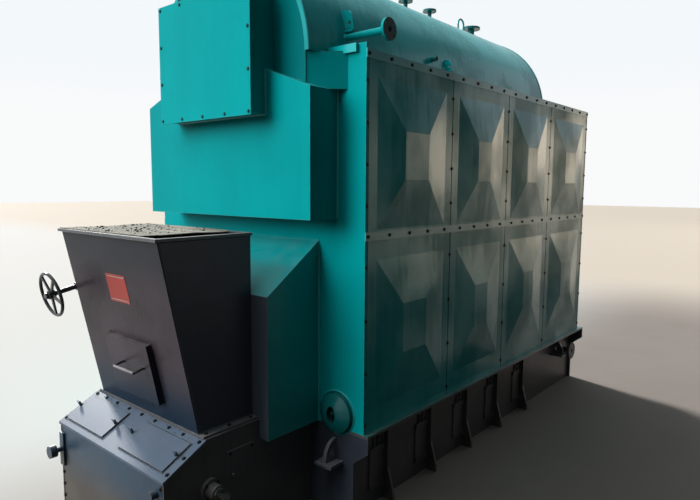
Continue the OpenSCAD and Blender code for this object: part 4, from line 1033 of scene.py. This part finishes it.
class BOILER_OT_hopper_welds(bpy.types.Operator):
    """Weld the hopper's seams, its foot, its rim and the brackets on its side"""

    bl_idname = "boiler.hopper_welds"
    bl_label = "Weld the hopper"

    def execute(self, context):
        leg = fasteners().weld
        turn = HOPPER_FACE.to_3x3()
        plate_l = (HOPPER_HIGH.z - HOPPER_LOW.z) / math.cos(HOPPER_LEAN)
        plate_t, inset = 0.010, 0.004
        front_y, back_y = HOPPER_LOW.y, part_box("hopper_shell")[1].y
        foot_z, rim_z = HOPPER_LOW.z, HOPPER_HIGH.z
        flange = X_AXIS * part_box("hopper_base_flange")[1].x
        cover_top = Vector((0.0, COVER_HIGH.y, COVER_HIGH.z))
        start, end = (-HOPPER_HIGH.x, front_y, rim_z), (HOPPER_HIGH.x, front_y, rim_z)
        slope_down = COVER_FACE.to_3x3() @ -Y_AXIS
        paths = [
            line_path(cover_top - flange, cover_top + flange, slope_down, Z_AXIS),
            line_path(start, end, turn @ -Y_AXIS, -Y_AXIS),
        ]
        for sign in SIDES:
            side, x = X_AXIS * sign, HOPPER_HIGH.x * sign
            ends = [HOPPER_FACE @ Vector((x, up, -plate_t)) for up in (inset, plate_l - inset)]
            paths.append(seam_path(*ends, side))
            paths.append(line_path((x, HOPPER_FOOT, foot_z), (x, back_y, foot_z), side, Z_AXIS))
            paths.append(line_path((x, front_y + 0.01, rim_z), (x, back_y, rim_z), -Z_AXIS, side))
        mesh = bmesh.new()
        add_welds(mesh, paths + self.bracket_paths(turn), leg, 23)
        finish_mesh("hopper_welds", mesh, "weld_dark", HULL_BODY, 50)
        handle = bmesh.new()
        handle_r, handle_leg = 0.006, leg * 0.6
        feet = [HOPPER_FACE @ Vector((x, HANDLE_UP, DOOR_OUT)) for x in HANDLE_LEGS]
        rings = [ring_path(foot, turn @ Z_AXIS, X_AXIS, handle_r) for foot in feet]
        add_welds(handle, rings, handle_leg, 24)
        finish_mesh("handle_welds", handle, "weld_dark", DOOR_BODY, 50)
        # Dark frame on the hopper's front plate, all around under the door's rim: painted shade of the gap
        # about the door
        left, right, low, high = -0.195, 0.212, 0.100, 0.427
        out, into, thickness = 0.004, 0.008, 0.004
        gap_shade = bmesh.new()
        add_frame(gap_shade, left, right, low, high, out, into, thickness, HOPPER_FACE)
        finish_mesh("door_gap_shade", gap_shade, "wheel_black", HULL_BODY)
        return {"FINISHED"}

    def bracket_paths(self, turn):
        """Edges of the spindle's bearing foot and of the gate's gearbox on the hopper's side."""
        paths = []
        ways = [turn @ axis for axis in (Y_AXIS, -Z_AXIS, -Y_AXIS, Z_AXIS)]
        for half, first, last in ((0.014, 0.032, 0.062), (0.042, 0.222, 0.332)):
            corners = [
                HOPPER_FACE @ Vector((-HOPPER_HIGH.x, SPINDLE_UP + up, -into))
                for up, into in ((half, first), (half, last), (-half, last), (-half, first))
            ]
            for k, way in enumerate(ways):
                paths.append(line_path(corners[k], corners[(k + 1) % 4], way, -X_AXIS))
        return paths


class BOILER_OT_handle_sleeves(bpy.types.Operator):
    """Sleeve the door's handle: black legs and a bar rubbed bright, whose pale grey also paints its
    highlight
    """

    bl_idname = "boiler.handle_sleeves"
    bl_label = "Sleeve the door handle"

    def execute(self, context):
        reach, radius, mouth_r = 0.062, 0.0066, 0.0061
        length = reach - 0.012
        legs = bmesh.new()
        profile = [(mouth_r, 0.0), (radius, 0.001), (radius, length - 0.001), (mouth_r, length)]
        for x in HANDLE_LEGS:
            foot = Matrix.Translation((x, HANDLE_UP, DOOR_OUT + 0.003))
            add_lathe(legs, profile, 16, HOPPER_FACE @ foot)
        finish_mesh("handle_leg_sleeves", legs, "wheel_black", DOOR_BODY, 40)
        start, end = HANDLE_LEGS[0] + 0.002, HANDLE_LEGS[1] - 0.002
        length = end - start
        profile = [(mouth_r, 0.0), (radius, 0.004), (radius + 0.0004, length / 2.0)]
        profile += [(radius, length - 0.004), (mouth_r, length)]
        place = HOPPER_FACE @ Matrix.Translation((start, HANDLE_UP, DOOR_OUT + reach))
        bar = bmesh.new()
        add_lathe(bar, profile, 20, place @ Matrix.Rotation(math.pi / 2.0, 4, "Y"))
        finish_mesh("handle_bar_sleeve", bar, "rubbed_bar_with_highlight", DOOR_BODY, 40)
        return {"FINISHED"}


class BOILER_OT_blank_plate(bpy.types.Operator):
    """Rivet the blank red plate to the hopper's front"""

    bl_idname = "boiler.blank_plate"
    bl_label = "Fit the blank plate"

    def execute(self, context):
        width, height, thickness = 0.190, 0.149, 0.0015
        place = HOPPER_FACE @ Matrix.Translation((0.010, 0.697, 0.0))
        mesh = bmesh.new()
        add_rounded_plate(mesh, width, height, thickness, 0.006, place)
        finish_mesh("blank_plate", mesh, "plate_red", HULL_BODY)
        rim = bmesh.new()
        line_y, line_w, line_t = height / 2.0 - 0.012, width - 0.030, thickness + 0.0003
        for y in (-line_y, line_y):
            add_rounded_plate(rim, line_w, 0.004, line_t, 0.001, place @ Matrix.Translation((0.0, y, 0.0)))
        rivet = [(0.0038, 0.0), (0.0032, 0.0013), (0.0017, 0.0021), (0.0, 0.0024)]
        rivet_x, rivet_y = width / 2.0 - 0.008, height / 2.0 - 0.008
        for x in (-rivet_x, rivet_x):
            for y in (-rivet_y, rivet_y):
                add_lathe(rim, rivet, 12, place @ Matrix.Translation((x, y, thickness)))
        finish_mesh("blank_plate_rivets", rim, "plate_rim", HULL_BODY, 40)
        return {"FINISHED"}


class BOILER_OT_hopper_cover(bpy.types.Operator):
    """Lay the warped cover board on the hopper, with coal grit on it"""

    bl_idname = "boiler.hopper_cover"
    bl_label = "Cover the hopper"

    def execute(self, context):
        low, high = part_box("hopper_cover")
        board = self.board(low, high)
        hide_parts("hopper_cover")
        self.scatter_grit(low, high)
        return {"FINISHED"}

    def board(self, low, high):
        """Board on the rim: cut fine, frayed at its edges, warped and given its thickness."""
        corners = {(round(v.co.x, 4), round(v.co.y, 4)) for v in NODES["hopper_cover"].data.vertices}
        centre = Vector((sum(x for x, _ in corners), sum(y for _, y in corners))) / len(corners)
        outline = sorted(corners, key=lambda c: math.atan2(c[1] - centre.y, c[0] - centre.x))
        mesh = bmesh.new()
        mesh.faces.new([mesh.verts.new((x, y, 0.0)) for x, y in outline])
        for axis, first, last in ((X_AXIS, low.x, high.x), (Y_AXIS, low.y, high.y)):
            for cut in spaced(first, last, 0.016)[1:-1]:
                parts = mesh.verts[:] + mesh.edges[:] + mesh.faces[:]
                bmesh.ops.bisect_plane(mesh, geom=parts, plane_co=axis * cut, plane_no=axis, dist=1e-5)
        rng = random.Random(31)
        middle = (low + high) / 2.0
        for vert in mesh.verts:
            if vert.is_boundary:
                inward = Vector((middle.x - vert.co.x, middle.y - vert.co.y, 0.0)).normalized()
                vert.co += inward * rng.random() * 0.007
            vert.co.z = self.height(vert.co, low, high)
        bmesh.ops.solidify(mesh, geom=mesh.faces[:], thickness=high.z - low.z)
        bmesh.ops.recalc_face_normals(mesh, faces=mesh.faces)
        return finish_mesh("cover_board", mesh, "dusty_sheet", HULL_BODY, 35)

    def height(self, at, low, high):
        """Height of the board: flat on the rim in front and behind, sagging and lifted between."""
        across = (at.y - low.y) / (high.y - low.y)
        sag = math.sin(math.pi * min(1.0, max(0.0, across)))
        ripple = mathutils.noise.noise(Vector((at.x * 5.0, at.y * 4.0, 0.3)))
        return high.z + 0.0006 + sag * (0.006 * ripple - 0.002) + 0.0008 * abs(ripple)

    def scatter_grit(self, low, high):
        """Coal grit on the board and on the slanted cover, many small lumps in one mesh."""
        rng = random.Random(32)
        mesh = bmesh.new()
        on_board, on_cover = 230, 90
        for _ in range(on_board):
            x, y = rng.uniform(low.x + 0.03, high.x - 0.12), rng.uniform(low.y + 0.03, high.y - 0.03)
            at = Vector((x, y, 0.0))
            at.z = self.height(at, low, high) + SUNK
            self.add_lump(mesh, at, rng.uniform(0.002, 0.0065) * (0.4 + rng.random() ** 2), rng)
        for _ in range(on_cover):
            x, down = rng.uniform(-0.50, 0.50), rng.uniform(0.004, 0.24) * rng.random()
            at = COVER_FACE @ Vector((x, -0.004 - down, SUNK))
            self.add_lump(mesh, at, rng.uniform(0.0012, 0.004), rng)
        finish_mesh("coal_grit", mesh, "coal", HULL_BODY)

    def add_lump(self, mesh, at, radius, rng):
        """One angular lump, sunk a little into what it lies on."""
        made = bmesh.ops.create_icosphere(mesh, subdivisions=1, radius=radius)["verts"]
        turn = Matrix.Rotation(rng.uniform(0.0, 6.28), 3, Vector((rng.random(), rng.random(), 1.0)))
        for vert in made:
            vert.co = turn @ (vert.co * rng.uniform(0.75, 1.15))
            vert.co.z *= 0.7
            vert.co += at + Z_AXIS * radius * 0.35


class BOILER_OT_trims(bpy.types.Operator):
    """Add the drum's end bands, the hood's plates and dark frames under the hatch plates, which paint the
    shade under their edges
    """

    bl_idname = "boiler.trims"
    bl_label = "Add bands, hood plates and gaskets"

    def execute(self, context):
        mesh = bmesh.new()
        self.add_band(mesh, DRUM_LOW.y + 0.002, DRUM_LOW.y + 0.016)
        self.add_band(mesh, DRUM_HIGH.y - 0.022, DRUM_HIGH.y - 0.002)
        finish_mesh("drum_end_bands", mesh, "weld_teal", HULL_BODY, 40)
        self.fit_face_plate()
        cover_foot = Vector((COVER_HIGH.x, HOUSING_FRONT, 0.485))
        place = COVER_FACE @ Matrix.Translation((0.0, -(COVER_HIGH - cover_foot).length, 0.0))
        hatch_half, hatch_low, hatch_high, lip, thickness = 0.397 / 2.0, 0.032, 0.208, 0.006, 0.0025
        # Dark frames about the hatch plates: painted shade under their edges
        shade_frames = bmesh.new()
        for middle in (-0.2955, 0.2765):
            left, right = middle - hatch_half, middle + hatch_half
            add_frame(shade_frames, left, right, hatch_low, hatch_high, lip, 0.0, thickness, place)
        finish_mesh("hatch_shade_frames", shade_frames, "wheel_black", HULL_BODY)
        return {"FINISHED"}

    def fit_face_plate(self):
        """Plate that closes the drum's hood in front, around the upper smoke box, with its skirt."""
        low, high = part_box("upper_smoke_box")
        smoke_x, smoke_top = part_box("smoke_box")[1].x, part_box("smoke_box")[1].z
        eave = top_at("smoke_box", 0, smoke_x)
        radius, thickness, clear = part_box("drum_front_head")[1].x, 0.006, 0.0005
        arc = roof_arc(radius, 64)
        corners = [(radius * math.cos(turn), radius * math.sin(turn)) for turn in arc]
        # The skirt stands on the smoke box's sloping shoulders
        fall = (smoke_top - eave) / (smoke_x - high.x)
        edge, top, ledge = radius * math.cos(arc[0]), high.z - DRUM_Z, smoke_top - DRUM_Z + clear
        shoulder = ledge - fall * (edge - high.x)
        corners += [(-edge, shoulder), (low.x, ledge), (low.x, top), (high.x, top), (high.x, ledge)]
        corners.append((edge, shoulder))
        face_y = DRUM_LOW.y + 0.012
        mesh = bmesh.new()
        add_plate(mesh, corners, thickness, face_frame((0.0, face_y, DRUM_Z), Z_AXIS, -Y_AXIS))
        # Its darker teal is painted shade of the upper smoke box
        finish_mesh("drum_face_plate", mesh, "teal_hood_painted_shade", HULL_BODY)
        self.fit_cheeks(edge, face_y, shoulder, eave - DRUM_Z + clear, smoke_x)

    def fit_cheeks(self, edge, face_y, shoulder, eave, eave_x):
        """Slanted cheeks from the face plate's edges to the wall, each with its small roof."""
        cheek_x, thickness, head = 0.800, 0.004, CASING_TOP - DRUM_Z
        across, deep = cheek_x - edge, WALL_Y - face_y
        length = math.hypot(across, deep)
        fold = (eave_x - edge) * length / across
        outline = [(0.0, shoulder), (fold, eave), (length, eave), (length, head), (0.0, head)]
        roof = [(edge, face_y), (cheek_x, WALL_Y), (edge, WALL_Y)]
        under = Matrix.Translation((0.0, 0.0, CASING_TOP - thickness))
        inward = Matrix.Translation((0.0, 0.0, -thickness))
        mesh = bmesh.new()
        for sign in (1, -1):
            normal = Vector((sign * deep, -across, 0.0)).normalized()
            place = face_frame((sign * edge, face_y, DRUM_Z), Z_AXIS, normal)
            add_plate(mesh, [(sign * u, v) for u, v in outline][::sign], thickness, place @ inward)
            add_plate(mesh, [(sign * x, y) for x, y in roof][::sign], thickness - SUNK, under)
        finish_mesh("hood_cheeks", mesh, "teal_gloss", HULL_BODY)

    def add_band(self, mesh, low, high):
        """Flat band over the drum's cladding between two places along Y, down to the roof."""
        inner, outer, chamfer = DRUM_R - 0.001, DRUM_R + 0.003, 0.001
        profile = ((inner, low), (outer, low + chamfer), (outer, high - chamfer), (inner, high))
        rings = []
        for turn in roof_arc(DRUM_R, 96):
            out = Vector((math.cos(turn), 0.0, math.sin(turn)))
            rings.append([out * radius + Vector((0.0, y, DRUM_Z)) for radius, y in profile])
        add_sweep(mesh, rings)
        bmesh.ops.recalc_face_normals(mesh, faces=mesh.faces)


class BOILER_OT_stage(bpy.types.Operator):
    """Set the camera, the lamps, the floor and the world"""

    bl_idname = "boiler.stage"
    bl_label = "Set the stage"

    def execute(self, context):
        scene = bpy.context.scene
        scene.view_settings.view_transform = "Standard"
        self.add_camera(scene, scene.boiler_stage)
        self.add_floor()
        self.add_lamps()
        self.add_world(scene)
        return {"FINISHED"}

    def link(self, name, data):
        """A new object of that data in the scene."""
        made = bpy.data.objects.new(name, data)
        bpy.context.scene.collection.objects.link(made)
        return made

    def add_camera(self, scene, stage):
        """Camera at the photograph's place, with its angles and lens."""
        lens = bpy.data.cameras.new("camera")
        lens.sensor_width = 36.0
        lens.lens = stage.lens
        scene.camera = self.link("camera", lens)
        flat = math.cos(stage.pitch)
        ahead, aside = math.cos(stage.heading), math.sin(stage.heading)
        forward = Vector((-aside * flat, ahead * flat, -math.sin(stage.pitch)))
        right = Vector((ahead, aside, 0.0))
        down = forward.cross(right)
        rolled = right * math.cos(stage.roll) + down * math.sin(stage.roll)
        up = right * math.sin(stage.roll) - down * math.cos(stage.roll)
        axes = Matrix((rolled, up, -forward)).transposed().to_4x4()
        scene.camera.matrix_world = Matrix.Translation(stage.camera_place) @ axes

    def add_floor(self):
        """Wide pale floor, with painted shadow to the right and painted sunlight to the left and far off."""
        mesh = bmesh.new()
        bmesh.ops.create_grid(mesh, x_segments=1, y_segments=1, size=60.0)
        data = bpy.data.meshes.new("floor")
        mesh.to_mesh(data)
        mesh.free()
        material, g, shader, place = new_material("floor_pale")
        tone = g.blended(g.noise(place, 1.4, 6.0, 0.6), (0.40, 0.350, 0.320), (0.48, 0.430, 0.395))
        # Painted shadow to the right, painted sunlight to the left and, warm, far off behind
        for axis, empty, full, other in (
            ("X", 2.0, 3.6, (0.23, 0.205, 0.19)),
            ("X", 0.8, -1.8, (1.00, 0.99, 0.96)),
            ("Y", 5.0, 9.5, (1.00, 0.89, 0.76)),
        ):
            tone = g.blended(g.zone(place, axis, empty, full), tone, other)
        # What the floor throws on the paint is darker than what is seen of it
        g.feed(shader["Base Color"], g.blended(g.seen_ray(), (0.06, 0.058, 0.055), tone))
        shader["Roughness"].default_value = 0.9
        shader["Specular IOR Level"].default_value = 0.2
        data.materials.append(material)
        floor = self.link("floor", data)

    def add_lamps(self):
        """Key from the left, a little behind, two wide soft boxes and three cards."""
        self.add_sun("key", 4.2, 9.0, (0.88, -0.22, -0.42), (1.0, 0.975, 0.94), True)
        front_box = self.add_sun("front_box", 3.2, 40.0, (0.50, 0.75, -0.40), (0.97, 0.99, 1.0), False)
        top_box = self.add_sun("top_box", 1.9, 50.0, (0.24, 0.42, -0.88), (0.90, 0.97, 1.0), False)
        self.keep_off_floor((front_box, top_box))
        # Three far cards at the right rear give the side panels their warm and their slate gloss
        self.add_card("warm_card", (9.3, 29.0, 3.7), 12.0, 4.2, 270.0, (1.0, 0.84, 0.64))
        self.add_card("amber_card", (16.8, 24.9, 3.7), 5.6, 4.2, 80.0, (1.0, 0.86, 0.66))
        self.add_card("slate_card", (9.3, 27.0, 12.0), 12.0, 11.0, 260.0, (0.72, 0.90, 1.0))

    def add_lamp(self, name, kind, energy, colour):
        """A lamp of that kind."""
        lamp = bpy.data.lights.new(name, kind)
        lamp.energy = energy
        lamp.color = colour
        return self.link(name, lamp)

    def add_sun(self, name, energy, spread, travel, colour, in_gloss):
        """A parallel lamp; a soft box is kept out of the gloss and leaves no hot spot there."""
        sun = self.add_lamp(name, "SUN", energy, colour)
        sun.data.angle = math.radians(spread)
        sun.location = Vector(travel) * -10.0
        sun.rotation_euler = Vector(travel).to_track_quat("-Z", "Y").to_euler()
        sun.visible_glossy = in_gloss
        return sun

    def add_card(self, name, at, width, height, power, colour):
        """A lit card that faces the boiler, out of the camera's sight."""
        card = self.add_lamp(name, "AREA", power, colour)
        card.data.shape = "RECTANGLE"
        card.data.size, card.data.size_y = width, height
        card.location = at
        toward = Vector((0.0, 0.0, 1.8)) - Vector(at)
        card.rotation_euler = toward.to_track_quat("-Z", "Z").to_euler()
        card.visible_camera = False

    def keep_off_floor(self, lamps):
        """Shades the floor from some lamps, so that the key alone draws the shadow there."""
        shaded = bpy.data.collections.new("shaded_from_soft_boxes")
        shaded.objects.link(bpy.data.objects["floor"])
        shaded.collection_objects[0].light_linking.link_state = "EXCLUDE"
        for lamp in lamps:
            lamp.light_linking.receiver_collection = shaded

    def add_world(self, scene):
        """Studio: a pale backdrop with a warm dark band low on the right, and a dim fill."""
        world = bpy.data.worlds.new("studio")
        scene.world = world
        world.use_nodes = True
        g = Graph(world.node_tree)
        parts = g.axes(g.node("TexCoord").outputs["Generated"])
        along_x, along_y, up = parts["X"], parts["Y"], parts["Z"]
        pale = (0.95, 0.955, 0.96)
        warm = g.fade(along_x, 0.62, 0.72, (0.62, 0.56, 0.46), (0.13, 0.16, 0.16))
        warm = g.fade(along_x, 0.80, 0.92, warm, pale)
        low = g.fade(along_x, 0.0, 0.14, pale, warm)
        sky = g.fade(along_x, 0.0, 0.20, (0.90, 0.94, 0.97), (0.50, 0.58, 0.62))
        sky = g.fade(along_x, 0.40, 0.60, sky, (0.16, 0.24, 0.27))
        shown = g.fade(up, 0.10, 0.20, low, sky)
        # High up behind the boiler stands what the drum's crown mirrors
        behind = g.times(g.ramp(up, 0.28, 0.50), g.ramp(along_y, 0.15, 0.50))
        crown = g.fade(along_x, 0.00, 0.20, (0.48, 0.94, 1.00), (0.11, 0.22, 0.26))
        shown = g.blended(behind, shown, crown)
        dim = g.fade(along_x, -0.6, 0.3, (0.40, 0.42, 0.44), (0.030, 0.033, 0.033))
        dim = g.fade(along_y, 0.70, 0.97, dim, (0.20, 0.21, 0.22))
        background = g.tree.nodes["Background"].inputs
        g.feed(background["Color"], g.blended(g.seen_ray(), dim, shown))
        background["Strength"].default_value = 1.0


class BOILER_PT_panel(bpy.types.Panel):
    """Sizes, colours and steps of the boiler's dress"""

    bl_label = "Boiler"
    bl_idname = "BOILER_PT_panel"
    bl_space_type = "VIEW_3D"
    bl_region_type = "UI"
    bl_category = "Boiler"

    def draw(self, context):
        scene = context.scene
        for group in (scene.boiler_paint, scene.boiler_fasteners, scene.boiler_stage):
            box = self.layout.box()
            for name in group.__annotations__:
                box.prop(group, name)
        for operator in STEPS:
            self.layout.operator(operator.bl_idname)


STEPS = (
    BOILER_OT_finishes,
    BOILER_OT_casing_bolts,
    BOILER_OT_wall_bolts,
    BOILER_OT_housing_bolts,
    BOILER_OT_casing_welds,
    BOILER_OT_base_welds,
    BOILER_OT_hopper_welds,
    BOILER_OT_handle_sleeves,
    BOILER_OT_blank_plate,
    BOILER_OT_hopper_cover,
    BOILER_OT_trims,
    BOILER_OT_stage,
)
SETTINGS = (BoilerPaint, BoilerFasteners, BoilerStage)


def register():
    """Registers the settings, the steps and the panel."""
    for cls in SETTINGS + STEPS + (BOILER_PT_panel,):
        bpy.utils.register_class(cls)
    bpy.types.Scene.boiler_paint = bpy.props.PointerProperty(type=BoilerPaint)
    bpy.types.Scene.boiler_fasteners = bpy.props.PointerProperty(type=BoilerFasteners)
    bpy.types.Scene.boiler_stage = bpy.props.PointerProperty(type=BoilerStage)


def unregister():
    """Removes what register added."""
    del bpy.types.Scene.boiler_paint
    del bpy.types.Scene.boiler_fasteners
    del bpy.types.Scene.boiler_stage
    for cls in reversed(SETTINGS + STEPS + (BOILER_PT_panel,)):
        bpy.utils.unregister_class(cls)


def main():
    """Dresses the boiler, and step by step."""
    register()
    for step in STEPS:
        group, name = step.bl_idname.split(".")
        getattr(getattr(bpy.ops, group), name)()


if __name__ == "__main__":
    main()
